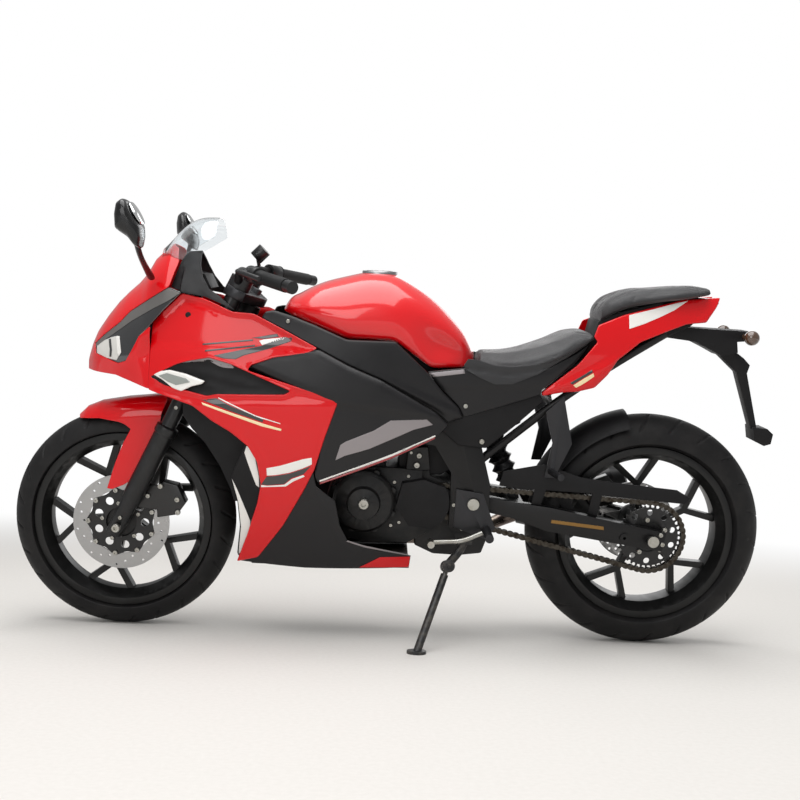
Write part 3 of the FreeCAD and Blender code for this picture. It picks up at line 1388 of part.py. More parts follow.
def build_footrests():
    """Hanger plates with the rider's and the passenger's pegs."""
    shapes = []
    y = value("spar_y + spar_thickness") + 0.3
    for side in (1, -1):
        plate = Part.Face(Part.makePolygon([Vector(a, y, b) for a, b in (
            (-176, 330), (-262, 300), (-285, 330), (-250, 420), (-180, 430),
            (-176, 330))])).extrude(Vector(0, 7, 0))
        plate = plate.cut(Part.makeCylinder(
            value("pivot_bolt_radius + 6.6"), 20, Vector(value("pivot_x"), y - 5, value("pivot_z")),
                Vector(0, 1, 0)))
        peg = Part.makeCylinder(11, 92, Vector(-262, y + 7, 326), Vector(0, 1, 0))
        arm = Part.Face(Part.makePolygon([Vector(a, y + 1.4, b) for a, b in (
            (-398, 640), (-442, 682), (-470, 560), (-430, 470), (-404, 470), (-420, 560),
            (-398, 640))])).extrude(
                Vector(0, 7, 0))
        rail_side = rail_y() + value("rail_radius + mount_gap")
        spacer = Part.makeCylinder(10, y + 1.4 - rail_side, Vector(-428, rail_side, 652), Vector(0, 1, 0))
        rear_peg = Part.makeCylinder(9, 74, Vector(-420, y + 8, 486), Vector(-0.2, 1, 0)).fuse(spacer)
        for shape in (plate.fuse(peg), arm.fuse(rear_peg)):
            shapes.append(shape if side > 0 else flip_y(shape))
    fixed_shape("footrests", Part.makeCompound(shapes))


def build_foot_controls():
    """Gear lever on the left and brake pedal on the right."""
    lever = tube([(-250, 142, 322), (-200, 150, 300), (-120, 156, 296)], 6).fuse(
        Part.makeCylinder(9, 34, Vector(-118, 150, 296), Vector(0, 1, 0)))
    pedal = tube([(-250, -142, 322), (-200, -150, 300), (-112, -158, 290)], 6.5).fuse(
        Part.makeBox(34, 30, 8, Vector(-122, -186, 288)))
    fixed_shape("foot_controls", Part.makeCompound([lever, pedal]))


def stand_hinge():
    return Vector(-165, 168, 238)


def build_stand():
    """Side stand swung down: a fork eye, a tubular leg and a flat foot; its bracket on the frame."""
    hinge, foot = stand_hinge(), stand_foot()
    axis = stand_axis()
    radial = (foot - hinge) - axis * (foot - hinge).dot(axis)
    knee = hinge + radial.normalize() * 24
    eye = Part.makeCylinder(15, 12, hinge - axis * 6, axis)
    neck = Part.makeCylinder(6, 30, hinge, radial)
    leg = Part.makeCylinder(10, (foot - knee).Length, knee, foot - knee)
    pin_hole = Part.makeCylinder(5.2, 60, hinge - axis * 30, axis)
    lean = math.radians(value("lean_angle"))
    floor = Vector(0, -math.sin(lean), math.cos(lean))
    pad = Part.makeCylinder(24, 7, foot, floor)
    leg_shape = eye.fuse([neck, leg, pad]).cut(pin_hole)
    under = Part.makeCylinder(400, 300, foot - floor * 300, floor)
    fixed_shape("side_stand", leg_shape.cut(under).removeSplitter())
    root = Part.makeBox(38, 26, 12, Vector(-228, 97, 296 - 12.3))
    arm = tube([(-208, 110, 287), (-194, 120, 262), tuple(hinge - axis * 24)], 11).fuse(root)
    cheeks = Part.makeCylinder(16, 34, hinge - axis * 24, axis).cut(
        Part.makeCylinder(30, 13, hinge - axis * 6.5, axis))
    bolt = Part.makeCylinder(5, 40, hinge - axis * 24, axis)
    fixed_shape("stand_bracket", cheeks.fuse([arm, bolt]).removeSplitter())


def stand_axis():
    return Vector(-0.137, 0.935, 0.327).normalize()


def stand_foot():
    """Where the stand meets the ground under the leaning bike."""
    hinge = stand_hinge()
    lean = math.radians(value("lean_angle"))
    aim = Vector(0.32, 0.55, -0.77).normalize()
    up = Vector(0, -math.sin(lean), math.cos(lean))
    ground = Vector(0, 0, ground_z())
    return hinge + aim * ((ground - hinge).dot(up) / aim.dot(up))


def build_bodywork():
    build_tank()
    build_fuel_lid()
    build_seats()
    build_side_panels()
    build_belly_pan()
    build_nose()
    build_mirrors()
    build_tail()
    build_footrests()
    build_foot_controls()
    build_stand()


build_wheels()
build_steering()
build_running_gear()
build_power()
build_bodywork()

# ---------------------------------------------------------------- place, check and write

def parked():
    """The whole bike leans onto its stand about the ground line."""
    lean = Rotation(Vector(1, 0, 0), -value("lean_angle"))
    return Placement(Vector(), lean).multiply(Placement(Vector(0, 0, -ground_z()), Rotation()))


doc.recompute()
leaning = parked()
for item, frame in sub_parts:
    item.Placement = leaning.multiply(FRAMES[frame]())
doc.recompute()
# curved faces have loose exact boxes, so the middle of the footprint comes from a mesh of every sub-part
outline = FreeCAD.BoundBox()
for item, _ in sub_parts:
    for spot in item.Shape.tessellate(0.5)[0]:
        outline.add(spot)
to_origin = Placement(Vector(-outline.Center.x, -outline.Center.y, 0), Rotation())
for item, _ in sub_parts:
    item.Placement = to_origin.multiply(item.Placement)
doc.recompute()

for item in doc.Objects:
    if "Invalid" in item.State or "Error" in item.State:
        raise RuntimeError("%s failed: %s" % (item.Label, item.State))
os.makedirs("parts", exist_ok=True)
for item, _ in sub_parts:
    if item.Shape.isNull() or not item.Shape.isValid():
        raise RuntimeError("%s has no valid shape" % item.Label)
    item.Shape.exportStep(os.path.join("parts", item.Label + ".step"))
print("parts written: %d" % len(sub_parts))
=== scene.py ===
# %% [markdown]
# # A sport motorcycle, parked on its side stand
#
# The bike's hard parts arrive as a imported model, already leaning on its stand.  This lesson dresses it:
# painted bodywork with stripes, tyres with tread, padded seats, lamps, mirrors, a drilled brake disc and
# bolts.  We begin by loading the imported model.

# %% Load the imported motorcycle
import json

import bmesh
import bpy
import numpy as np
from mathutils import Matrix, Vector
from mathutils.geometry import delaunay_2d_cdt


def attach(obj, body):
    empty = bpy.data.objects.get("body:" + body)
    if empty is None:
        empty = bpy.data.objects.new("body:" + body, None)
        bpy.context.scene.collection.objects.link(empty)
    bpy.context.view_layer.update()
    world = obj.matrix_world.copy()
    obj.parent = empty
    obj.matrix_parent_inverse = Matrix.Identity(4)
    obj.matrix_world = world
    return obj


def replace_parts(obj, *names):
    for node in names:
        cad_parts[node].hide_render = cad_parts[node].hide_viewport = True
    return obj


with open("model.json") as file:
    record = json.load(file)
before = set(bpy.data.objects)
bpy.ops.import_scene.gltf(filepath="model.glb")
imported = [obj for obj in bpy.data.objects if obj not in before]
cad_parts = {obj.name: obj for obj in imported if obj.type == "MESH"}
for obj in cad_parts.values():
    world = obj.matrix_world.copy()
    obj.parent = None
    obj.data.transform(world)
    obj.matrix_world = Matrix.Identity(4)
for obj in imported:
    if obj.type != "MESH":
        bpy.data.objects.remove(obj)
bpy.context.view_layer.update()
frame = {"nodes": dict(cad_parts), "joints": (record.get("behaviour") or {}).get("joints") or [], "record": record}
nodes = frame["nodes"]

# %% [markdown]
# ## The bike frame
#
# A designer draws a motorcycle upright, in millimetres, with x forward from the middle of the wheelbase, y
# to the rider's left and z up from the ground.  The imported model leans, so each upright point is turned
# about the length axis and moved.  Both the lean and the move come from the front wheel's joint: its axis
# is the bike's own y.

# %% From the upright bike to the leaning model
joints = {joint["name"]: joint for joint in frame["joints"]}
FRONT_AXLE = np.array([693.05, 0.0, 294.35])          # mm, in the upright bike
REAR_AXLE = np.array([-693.31, 0.0, 315.58])
axis_x = np.array([1.0, 0.0, 0.0])
axis_y = np.array(joints["front_wheel_spin"]["axis"], float)
axis_z = np.cross(axis_x, axis_y)
BIKE = np.stack([axis_x, axis_y, axis_z], axis=1)      # columns are the bike's own axes
HOME = np.array(joints["front_wheel_spin"]["pos_m"], float) - BIKE @ (FRONT_AXLE / 1000)


def leaning(points):
    """Upright millimetres to leaning metres: p -> BIKE * p / 1000 + HOME, for an array of any shape (...,
    3)."""
    return np.asarray(points, float) @ BIKE.T / 1000 + HOME


print("lean in degrees:", round(float(np.degrees(np.arctan2(-axis_y[2], axis_y[1]))), 2))

# %% [markdown]
# ## Camera
#
# The camera stands almost three metres to the left of the bike, at the height of the engine, and looks
# slightly up.  A long lens keeps the wheels round.  It is placed before any modelling, so that every later
# step can be judged in the same view.

# %% Camera
def turn(axis, angle):
    """3x3 rotation about x, y or z, in radians."""
    return np.array(Matrix.Rotation(angle, 3, axis))


UNDER_BIKE = leaning([0, 0, 0.5])                      # on the ground, midway between the wheels
CAMERA_FROM_THERE = [0.0297, 2.9266, 0.5147]           # metres
yaw, pitch, roll = -0.0201, -0.0404, 0.0405            # radians
look = turn("Z", yaw) @ turn("X", pitch)
right, up, forward = look @ [-1, 0, 0], look @ [0, 0, 1], look @ [0, -1, 0]
right, up = right * np.cos(roll) + up * np.sin(roll), up * np.cos(roll) - right * np.sin(roll)
camera = bpy.data.objects.new("camera", bpy.data.cameras.new("camera"))
bpy.context.collection.objects.link(camera)
place = np.eye(4)
place[:3, :3] = np.stack([right, up, -forward], axis=1)
place[:3, 3] = UNDER_BIKE + CAMERA_FROM_THERE
camera.matrix_world = Matrix(place.tolist())
camera.data.lens, camera.data.sensor_width = 47.65, 36
bpy.context.scene.camera = camera
print("camera at", np.round(place[:3, 3], 3), "lens", camera.data.lens)

# %% [markdown]
# ## Small helpers for shading
#
# A finish is a node tree.  One helper adds any node with its settings and links, and one turns the sRGB hex
# values that a paint chart gives into the linear numbers that a renderer works with.

# %% Node and colour helpers
def add(tree, kind, inputs=None, **settings):
    """Adds a shader node. Settings are its properties; inputs are its sockets by name or number, each a
    value or the output of another node."""
    made = tree.nodes.new("ShaderNode" + kind)
    for name, setting in settings.items():
        setattr(made, name, setting)
    for name, item in (inputs or {}).items():
        if isinstance(item, bpy.types.NodeSocket):
            tree.links.new(item, made.inputs[name])
        else:
            made.inputs[name].default_value = item
    return made


def rgb(code):
    """Linear RGBA of an sRGB hex code: each channel is the code's, taken through the sRGB curve."""
    channel = np.array([int(code[i:i + 2], 16) for i in (1, 3, 5)]) / 255
    linear = np.where(channel <= 0.04045, channel / 12.92, ((channel + 0.055) / 1.055) ** 2.4)
    return (*map(float, linear), 1.0)


print("mid grey is", round(rgb("#808080")[0], 3))

# %% [markdown]
# ## Floor and light
#
# A plain pale floor fades into a white surround, so the bike casts its shadow on something and nothing
# competes with it.  One wide lamp overhead is the sky of an overcast day: it puts the long soft highlight
# along the tank and the tops of the seats.  Two weaker ones stand at the sides.

# %% Floor
FLOOR_REACH = 7.0                                      # metres each way
floor_mesh = bpy.data.meshes.new("floor")
edges = (-FLOOR_REACH, FLOOR_REACH)
floor_mesh.from_pydata([(x, y, 0) for x in edges for y in edges], [], [(0, 2, 3, 1)])
floor = bpy.data.objects.new("floor", floor_mesh)
bpy.context.collection.objects.link(floor)

floor_finish = bpy.data.materials.new("sealed concrete")
floor_finish.use_nodes = True
tree = floor_finish.node_tree
where = add(tree, "TexCoord").outputs["Object"]
far = add(tree, "VectorMath", {0: where}, operation="LENGTH").outputs["Value"]
fade = add(tree, "MapRange", {"Value": far, "From Min": 1.7, "From Max": 4.5},
           interpolation_type="SMOOTHSTEP")
speck = add(tree, "TexNoise", {"Vector": where, "Scale": 90.0, "Detail": 4.0})
tint = add(tree, "Mix", {"Factor": speck.outputs["Fac"], 6: rgb("#d3d0cb"), 7: rgb("#dedbd7")},
           data_type="RGBA")
ground = tree.nodes["Principled BSDF"]
ground.inputs["Roughness"].default_value = 0.8
tree.links.new(tint.outputs[2], ground.inputs["Base Color"])
surround = add(tree, "Emission", {"Color": (1, 1, 1, 1), "Strength": 1.0})
blend = add(tree, "MixShader", {0: fade.outputs["Result"], 1: ground.outputs["BSDF"],
                                2: surround.outputs["Emission"]})
tree.links.new(blend.outputs["Shader"], tree.nodes["Material Output"].inputs["Surface"])
floor_mesh.materials.append(floor_finish)

# %% World and lamps
world = bpy.data.worlds.new("white room")
bpy.context.scene.world = world
world.use_nodes = True
tree = world.node_tree
ray = add(tree, "LightPath").outputs
seen = add(tree, "Math", {0: ray["Is Camera Ray"], 1: ray["Is Transmission Ray"]}, operation="MAXIMUM")
level = add(tree, "MapRange", {"Value": seen.outputs["Value"], "To Min": 0.42, "To Max": 1.0})
tree.links.new(level.outputs["Result"], tree.nodes["Background"].inputs["Strength"])
tree.nodes["Background"].inputs["Color"].default_value = (1, 1, 1, 1)


def lamp(name, place, aim, size, power):
    """Square soft lamp at one point, facing another; places in metres."""
    light = bpy.data.lights.new(name, "AREA")
    light.shape, light.size, light.energy = "SQUARE", size, power
    made = bpy.data.objects.new(name, light)
    bpy.context.collection.objects.link(made)
    facing = (Vector(aim) - Vector(place)).to_track_quat("-Z", "Y")
    made.matrix_world = Matrix.Translation(place) @ facing.to_matrix().to_4x4()


lamp("overhead", (0.2, 0.5, 3.2), (0, -0.1, 0.5), 3.4, 118)
lamp("left", (1.4, 3.6, 1.9), (0, 0, 0.6), 2.2, 42)
lamp("right", (-1.2, -3.4, 1.9), (0, 0, 0.6), 2.4, 34)
bpy.context.scene.view_settings.view_transform = "Standard"

# %% [markdown]
# ## Finishes
#
# Every finish starts from a real material and how its surface was made.  Three layers do the work: a base
# colour, a slow change of gloss that a hand-sprayed or handled surface has, and a fine bump at the real
# size of the grain.

# %% Building blocks of a finish
def finish(name, base, rough, rough_span=0.0, span_mm=60, **sockets):
    """A named material: base colour, roughness that drifts by rough_span over patches of span_mm, and any
    other sockets of the shader by name, with _ for a space."""
    material = bpy.data.materials.new(name)
    material.use_nodes = True
    tree = material.node_tree
    shader = tree.nodes["Principled BSDF"]
    shader.inputs["Base Color"].default_value = rgb(base)
    shader.inputs["Roughness"].default_value = rough
    for socket, number in sockets.items():
        shader.inputs[socket.replace("_", " ")].default_value = number
    if rough_span:
        where = add(tree, "TexCoord").outputs["Object"]
        spot = add(tree, "TexNoise", {"Vector": where, "Scale": 1000 / span_mm, "Detail": 3.0})
        drift = add(tree, "MapRange", {"Value": spot.outputs["Fac"], "From Min": 0.3, "From Max": 0.7,
                                       "To Min": rough - rough_span, "To Max": rough + rough_span})
        tree.links.new(drift.outputs["Result"], shader.inputs["Roughness"])
    return material


def grain(material, size_mm, height_mm, detail=2.0, stretch=(1, 1, 1)):
    """Adds a bump of rounded grains: size_mm across and height_mm high, drawn out along stretch."""
    tree = material.node_tree
    drawn = add(tree, "Mapping", {"Vector": add(tree, "TexCoord").outputs["Object"], "Scale": stretch})
    noise = add(tree, "TexNoise", {"Vector": drawn.outputs["Vector"], "Scale": 1000 / size_mm,
                                   "Detail": detail})
    bump = add(tree, "Bump", {"Height": noise.outputs["Fac"], "Distance": height_mm / 1000,
                              "Strength": 1.0})
    tree.links.new(bump.outputs["Normal"], tree.nodes["Principled BSDF"].inputs["Normal"])
    return material


def patches(material, other, size_mm, amount):
    """Lets a second colour through in cloudy patches of size_mm, up to a share of amount: dust, stain or
    fading."""
    tree = material.node_tree
    base = tree.nodes["Principled BSDF"].inputs["Base Color"]
    where = add(tree, "TexCoord").outputs["Object"]
    noise = add(tree, "TexNoise", {"Vector": where, "Scale": 1000 / size_mm, "Detail": 5.0,
                                   "Roughness": 0.6})
    share = add(tree, "MapRange", {"Value": noise.outputs["Fac"], "From Min": 0.45, "From Max": 0.65,
                                   "To Max": amount})
    mix = add(tree, "Mix", {"Factor": share.outputs["Result"], 6: tuple(base.default_value), 7: rgb(other)},
              data_type="RGBA")
    tree.links.new(mix.outputs[2], base)
    return material


# %% Paint, lacquer and moulded plastics
# Sprayed two-coat lacquer on ABS: deep colour under a glassy clear coat, with orange peel of about 4 mm.
red_lacquer = grain(
    finish("red lacquer on ABS", "#d0000a", 0.36, 0.04, Coat_Weight=0.75, Coat_Roughness=0.06,
           Specular_IOR_Level=0.12), 4.0, 0.004)
# The pressed steel tank has the same lacquer; steel is stiffer, so its highlights are a touch cleaner.
tank_lacquer = grain(
    finish("red lacquer on steel", "#d6020d", 0.32, 0.03, Coat_Weight=1.0, Coat_Roughness=0.08,
           Specular_IOR_Level=0.3), 5.0, 0.004)
# Satin black ABS from a spark-eroded mould: a broad grey sheen, broken by a grain of 0.8 mm.
satin_moulding = grain(finish("satin black ABS", "#121113", 0.4, 0.06, Specular_IOR_Level=0.38), 0.8, 0.02)
# Black polypropylene, leather grained in the mould: duller, with grains of 1.4 mm.
grained_moulding = grain(
    finish("grained black polypropylene", "#0c0b0d", 0.58, 0.07, Specular_IOR_Level=0.3), 1.4, 0.05)
# Gloss black ABS, unpainted: the mirror heads.
gloss_moulding = grain(finish("gloss black ABS", "#0d0d0e", 0.22, 0.04), 3.0, 0.003)

# %% Metals, bare and painted
# Powder coat on the steel frame: even and satin, with the fine pebble of baked powder.
powder_coat = grain(finish("black powder coat", "#0b0a0b", 0.4, 0.05, Specular_IOR_Level=0.35), 1.6, 0.012)
# Black enamel on cast wheels, half gloss.
wheel_enamel = grain(
    finish("black enamel on cast aluminium", "#080808", 0.38, 0.05, Specular_IOR_Level=0.4), 3.0, 0.006)
# Sand-cast aluminium under heat-proof black: the sand leaves a 1.2 mm grain, and dust settles in it.
black_casting = patches(
    grain(finish("black paint on sand casting", "#0b0b0c", 0.46, 0.08, Specular_IOR_Level=0.4),
          1.2, 0.06, 4.0), "#2f2b27", 45, 0.3)
# Die-cast aluminium left grey: clamps, pegs and radiator tanks.
grey_casting = grain(finish("grey die casting", "#3a3a3c", 0.42, 0.08, Metallic=0.85), 0.9, 0.03)
# The caliper bodies are anodised black over the same casting.
caliper_casting = grain(
    finish("black anodised caliper casting", "#0e0d0d", 0.34, 0.06, Specular_IOR_Level=0.6), 0.9, 0.03)
# Zinc-plated steel: spindles, bolts, levers.  Bright, a little yellow, softly mottled.
zinc_plate = patches(grain(finish("zinc-plated steel", "#b4b3ad", 0.33, 0.08, 25, Metallic=1.0), 0.7, 0.008),
                     "#8f8a7c", 20, 0.4)
# Hard anodising: a black oxide grown on the aluminium of brake carriers and sprockets, even and satin.
dark_anodised = grain(
    finish("hard anodised aluminium", "#111112", 0.4, 0.06, Specular_IOR_Level=0.5), 0.8, 0.01)
# Disc steel, ground on a rotary grinder: fine marks, so the gloss is drawn out.
ground_steel = grain(finish("rotary-ground disc steel", "#a8a8a8", 0.34, 0.07, 30, Metallic=1.0), 0.5, 0.01)
# Oiled roller chain: dark steel with brown grease between the plates.
oiled_steel = patches(grain(finish("oiled chain steel", "#4a4640", 0.38, 0.1, 8, Metallic=0.9), 0.8, 0.02),
                      "#241c14", 9, 0.9)
# Stainless downpipe, blued by heat near the engine.
heated_steel = patches(
    grain(finish("heat-stained stainless", "#8c8175", 0.3, 0.08, 40, Metallic=1.0), 0.8, 0.006),
    "#5a4a52", 70, 0.6)
# Satin aluminium of the filler lid and its collar.
satin_aluminium = grain(
    finish("satin aluminium", "#9a9a9b", 0.36, 0.06, Metallic=1.0), 0.5, 0.01, stretch=(1, 9, 1))
# Black paint on fork legs, bars, damper and silencer, satin and slightly scuffed.
satin_enamel = patches(
    grain(finish("satin black enamel", "#0e0e0f", 0.36, 0.06, Specular_IOR_Level=0.45), 1.0, 0.01),
    "#1c1c1e", 30, 0.5)
# Dull chassis enamel on the side stand, dusty from the road.
stand_enamel = patches(grain(finish("chassis enamel on steel", "#1a1a1b", 0.48, 0.08), 1.0, 0.03),
                       "#5b554c", 18, 0.5)

# %% Rubber, vinyl and lenses
# Tyre rubber from a mould, matt, with the pale bloom and road dust that gather on the tread.
tyre_rubber = patches(
    grain(finish("moulded tyre rubber", "#0f0e0f", 0.6, 0.08, Specular_IOR_Level=0.3), 1.1, 0.03),
    "#262423", 55, 0.35)
# Softer rubber on the grips, with no bloom.
grip_rubber = grain(finish("soft grip rubber", "#0c0c0d", 0.7, 0.06, Specular_IOR_Level=0.35), 0.9, 0.05)
# Seat vinyl, embossed like leather over foam: cells about 2 mm across with creases between them.
seat_vinyl = finish("leather-grained vinyl", "#232325", 0.5, 0.06, Sheen_Weight=0.12, Sheen_Roughness=0.5)
tree = seat_vinyl.node_tree
cells = add(tree, "TexVoronoi", {"Vector": add(tree, "TexCoord").outputs["Object"], "Scale": 1000 / 2.0},
            feature="DISTANCE_TO_EDGE")
crease = add(tree, "MapRange", {"Value": cells.outputs["Distance"], "From Max": 0.18})
bump = add(tree, "Bump", {"Height": crease.outputs["Result"], "Distance": 0.00012, "Strength": 1.0})
tree.links.new(bump.outputs["Normal"], tree.nodes["Principled BSDF"].inputs["Normal"])
# Lenses and screen: clear polycarbonate, index 1.585, bright and hard.
clear_screen = finish("clear polycarbonate screen", "#f4f8fa", 0.03, Transmission_Weight=1.0, IOR=1.585)
smoked_lens = finish(
    "smoked polycarbonate lens", "#1d1e20", 0.08, IOR=1.585, Coat_Weight=1.0, Coat_Roughness=0.03)
white_lens = grain(finish("frosted white lens", "#cfcdc8", 0.22, IOR=1.585, Coat_Weight=0.6), 3.0, 0.02)
red_lens = grain(finish("red moulded lens", "#8f0a0e", 0.15, IOR=1.585, Coat_Weight=1.0), 4.0, 0.03)
amber_lens = grain(
    finish("smoked amber moulded lens", "#4a3424", 0.18, IOR=1.585, Coat_Weight=1.0), 4.0, 0.03)

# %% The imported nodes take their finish
FINISH_OF_SLOT = {
    "tyre": tyre_rubber, "rim_black": wheel_enamel, "disc_steel": ground_steel, "steel": zinc_plate,
    "fork_black": satin_enamel, "cast_alloy": grey_casting, "satin_black": satin_enamel,
    "grip_rubber": grip_rubber, "fairing_red": red_lacquer, "caliper_alloy": caliper_casting,
    "frame_black": powder_coat, "chain_steel": oiled_steel, "matte_black": grained_moulding,
    "engine_black": black_casting, "exhaust_steel": heated_steel, "silencer_black": satin_enamel,
    "tank_red": tank_lacquer, "cap_alloy": satin_aluminium, "seat_cover": seat_vinyl,
    "signal_lens": white_lens, "cover_black": satin_moulding,
    "lamp_lens": smoked_lens, "clear_screen": clear_screen, "mirror_black": gloss_moulding,
    "tail_lens": red_lens, "signal_amber": amber_lens, "stand_grey": stand_enamel,
}
FINISH_OF_NODE = {"rear_sprocket": dark_anodised, "rear_shock": satin_enamel}
slot_of = {part["node"]: part["material_slot"] for part in frame["record"]["subparts"]}
for name, obj in nodes.items():
    if not obj.material_slots:
        obj.data.materials.append(None)
    for material_slot in obj.material_slots:
        material_slot.link = "OBJECT"
        material_slot.material = FINISH_OF_NODE.get(name) or FINISH_OF_SLOT[slot_of[name]]
print("finishes:", len(bpy.data.materials))

# %% [markdown]
# ## Painted side panels
#
# A fairing panel is one injection moulding, about 3 mm thick, that bulges both along the bike and from top
# to bottom.  In side view its outline is sharp and pointed.  It could be modelled by hand with a subdivision
# cage, but the bulge is a simple formula, so we fill the outline with points, let a triangulation join
# them, and give every point its distance from the middle plane.  Close to the edge the surface rolls in
# by a few millimetres, as a moulded edge does, and that thin rim is what catches the light.

# %% Outlines: round the corners, then fill them with points
def rounded(outline, radius=6.0, step=5.0):
    """Closed outline with each corner replaced by a quadratic curve that starts radius before the corner
    and ends radius after it, cut into pieces no longer than step."""
    corner = np.asarray(outline, float)
    before, after = np.roll(corner, 1, 0) - corner, np.roll(corner, -1, 0) - corner
    room_before, room_after = (np.linalg.norm(v, axis=1, keepdims=True) for v in (before, after))
    start = corner + before / room_before * np.minimum(radius, 0.45 * room_before)
    stop = corner + after / room_after * np.minimum(radius, 0.45 * room_after)
    t = np.linspace(0, 1, 6)[:, None, None]
    curves = ((1 - t) ** 2 * start + 2 * t * (1 - t) * corner + t ** 2 * stop).swapaxes(0, 1)
    parts = []
    for curve, following in zip(curves, np.roll(start, -1, 0)):
        count = max(1, int(np.linalg.norm(following - curve[-1]) // step))
        share = np.linspace(0, 1, count + 1)[1:-1, None]
        parts += [curve, curve[-1] + share * (following - curve[-1])]
    return np.concatenate(parts)


def edge_distance(points, outline):
    """Distance of each point from the closed outline: the least distance to any of its straight pieces."""
    a, b = outline, np.roll(outline, -1, 0)
    along = b - a
    t = np.clip(np.einsum("nmk,mk->nm", points[:, None] - a, along) / (along ** 2).sum(1), 0, 1)
    return np.linalg.norm(points[:, None] - (a + t[..., None] * along), axis=2).min(1)


def inside(points, outline):
    """True where a ray from the point crosses the closed outline an odd number of times."""
    a, b = outline, np.roll(outline, -1, 0)
    x, z = points[:, 0, None], points[:, 1, None]
    spans = (a[:, 1] > z) != (b[:, 1] > z)
    rise = np.where(b[:, 1] == a[:, 1], 1.0, b[:, 1] - a[:, 1])
    return (spans & (x < a[:, 0] + (z - a[:, 1]) / rise * (b[:, 0] - a[:, 0]))).sum(1) % 2 == 1


def within(points, loops):
    """True for points inside the first loop and outside the others."""
    return inside(points, loops[0]) & ~np.any([inside(points, hole) for hole in loops[1:]], axis=0)


def depth_in(points, loops):
    """Distance of each point from the nearest of several loops."""
    return np.min([edge_distance(points, loop) for loop in loops], axis=0)


ROW = 0.866                                            # height of the grid's triangles, in steps
CLEARANCE = 0.93                                       # share of its depth that a point keeps from the loops


def filled(loops, step, rim=(1.2, 2.8, 5.0)):
    """Points and triangles that fill the area inside the first loop and outside the others: the loops
    themselves, rows of points rim millimetres from them, and a triangular grid of the given step
    elsewhere."""
    low, high = loops[0].min(0), loops[0].max(0)
    x, z = np.meshgrid(np.arange(low[0], high[0], step), np.arange(low[1], high[1], step * ROW))
    x = x + (np.arange(len(z)) % 2)[:, None] * step / 2
    cloud = [np.stack([x.ravel(), z.ravel()], 1)]
    for loop in loops:
        tangent = np.roll(loop, -1, 0) - np.roll(loop, 1, 0)
        normal = np.stack([-tangent[:, 1], tangent[:, 0]], 1)
        normal /= np.linalg.norm(tangent, axis=1, keepdims=True)
        cloud += [loop + side * normal * depth for depth in rim for side in (1, -1)]
    depth_of = np.repeat([rim[-1] + 2.0] + [d for _ in loops for d in rim for _ in (0, 1)],
                         [len(part) for part in cloud])
    cloud = np.concatenate(cloud)
    clear = depth_in(cloud, loops) > CLEARANCE * depth_of
    points = np.concatenate(loops + [cloud[within(cloud, loops) & clear]])
    edges, first = [], 0
    for loop in loops:
        edges += [(first + i, first + (i + 1) % len(loop)) for i in range(len(loop))]
        first += len(loop)
    made = delaunay_2d_cdt([Vector(p) for p in points], edges, [], 0, 1e-6)
    points, faces = np.array([tuple(p) for p in made[0]]), np.array(made[2])
    return points, faces[within(points[faces].mean(1), loops)]


# %% Meshes and arrays
def coordinates(mesh, what="co"):
    """Array of the places of a mesh's points, or of their normals."""
    flat = np.empty(len(mesh.vertices) * 3)
    mesh.vertices.foreach_get(what, flat)
    return flat.reshape(-1, 3)


def opened(mesh, change):
    """Opens a mesh for editing, lets change() work on it, and writes the result back."""
    shell = bmesh.new()
    shell.from_mesh(mesh)
    change(shell)
    shell.to_mesh(mesh)
    shell.free()


def outward(obj):
    """Turns every face of a closed mesh outwards."""
    opened(obj.data, lambda shell: bmesh.ops.recalc_face_normals(shell, faces=shell.faces))


def anticlockwise(points, faces):
    """True for each flat triangle whose corners turn left: (b - a) x (c - a) > 0."""
    a, b, c = (points[faces[:, i]] for i in range(3))
    return ((b - a)[:, 0] * (c - a)[:, 1] - (b - a)[:, 1] * (c - a)[:, 0]) > 0


def grid_faces(rows, columns, rows_close=True, columns_close=True):
    """Quads between neighbours in a grid of points, which may close on itself either way."""
    i, j = np.meshgrid(np.arange(rows - 1 + rows_close), np.arange(columns - 1 + columns_close),
                       indexing="ij")
    i_next, j_next = (i + 1) % rows, (j + 1) % columns
    corners = [i * columns + j, i * columns + j_next, i_next * columns + j_next, i_next * columns + j]
    return np.stack(corners, -1).reshape(-1, 4)


def solid_mesh(name, points, faces, body, material, smooth=True):
    """Object from arrays of points, in metres, and of faces with 3 or 4 corners; it rides on a body."""
    mesh = bpy.data.meshes.new(name)
    mesh.from_pydata(np.asarray(points).tolist(), [], faces if isinstance(faces, list) else faces.tolist())
    mesh.polygons.foreach_set("use_smooth", np.full(len(mesh.polygons), smooth))
    mesh.materials.append(material)
    mesh.update()
    made = bpy.data.objects.new(name, mesh)
    bpy.context.collection.objects.link(made)
    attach(made, body)
    return made


def walled(obj, thickness_mm, offset=-1.0):
    """Gives an open skin its wall: Solidify, growing to the inside of the faces."""
    wall = obj.modifiers.new("wall", "SOLIDIFY")
    wall.thickness, wall.offset, wall.use_rim = thickness_mm / 1000, offset, True
    return obj


# %% The bulge of the bodywork
def barrel(half_width, widest_x, widest_z, plan_radius, side_radius):
    """Surface of a barrel about an upright axis: the distance out falls away from the widest point along
    one circle from top to bottom and along another, inside the first, from front to back."""
    def out(x, z):
        upright = half_width - side_radius + np.sqrt(side_radius ** 2 - (z - widest_z) ** 2)
        core = half_width - plan_radius
        return core + np.sqrt((upright - core) ** 2 - (x - widest_x) ** 2)
    return out


BORDER, FADE = 12, 15                                  # mm: strip beside an edge, and a slow change


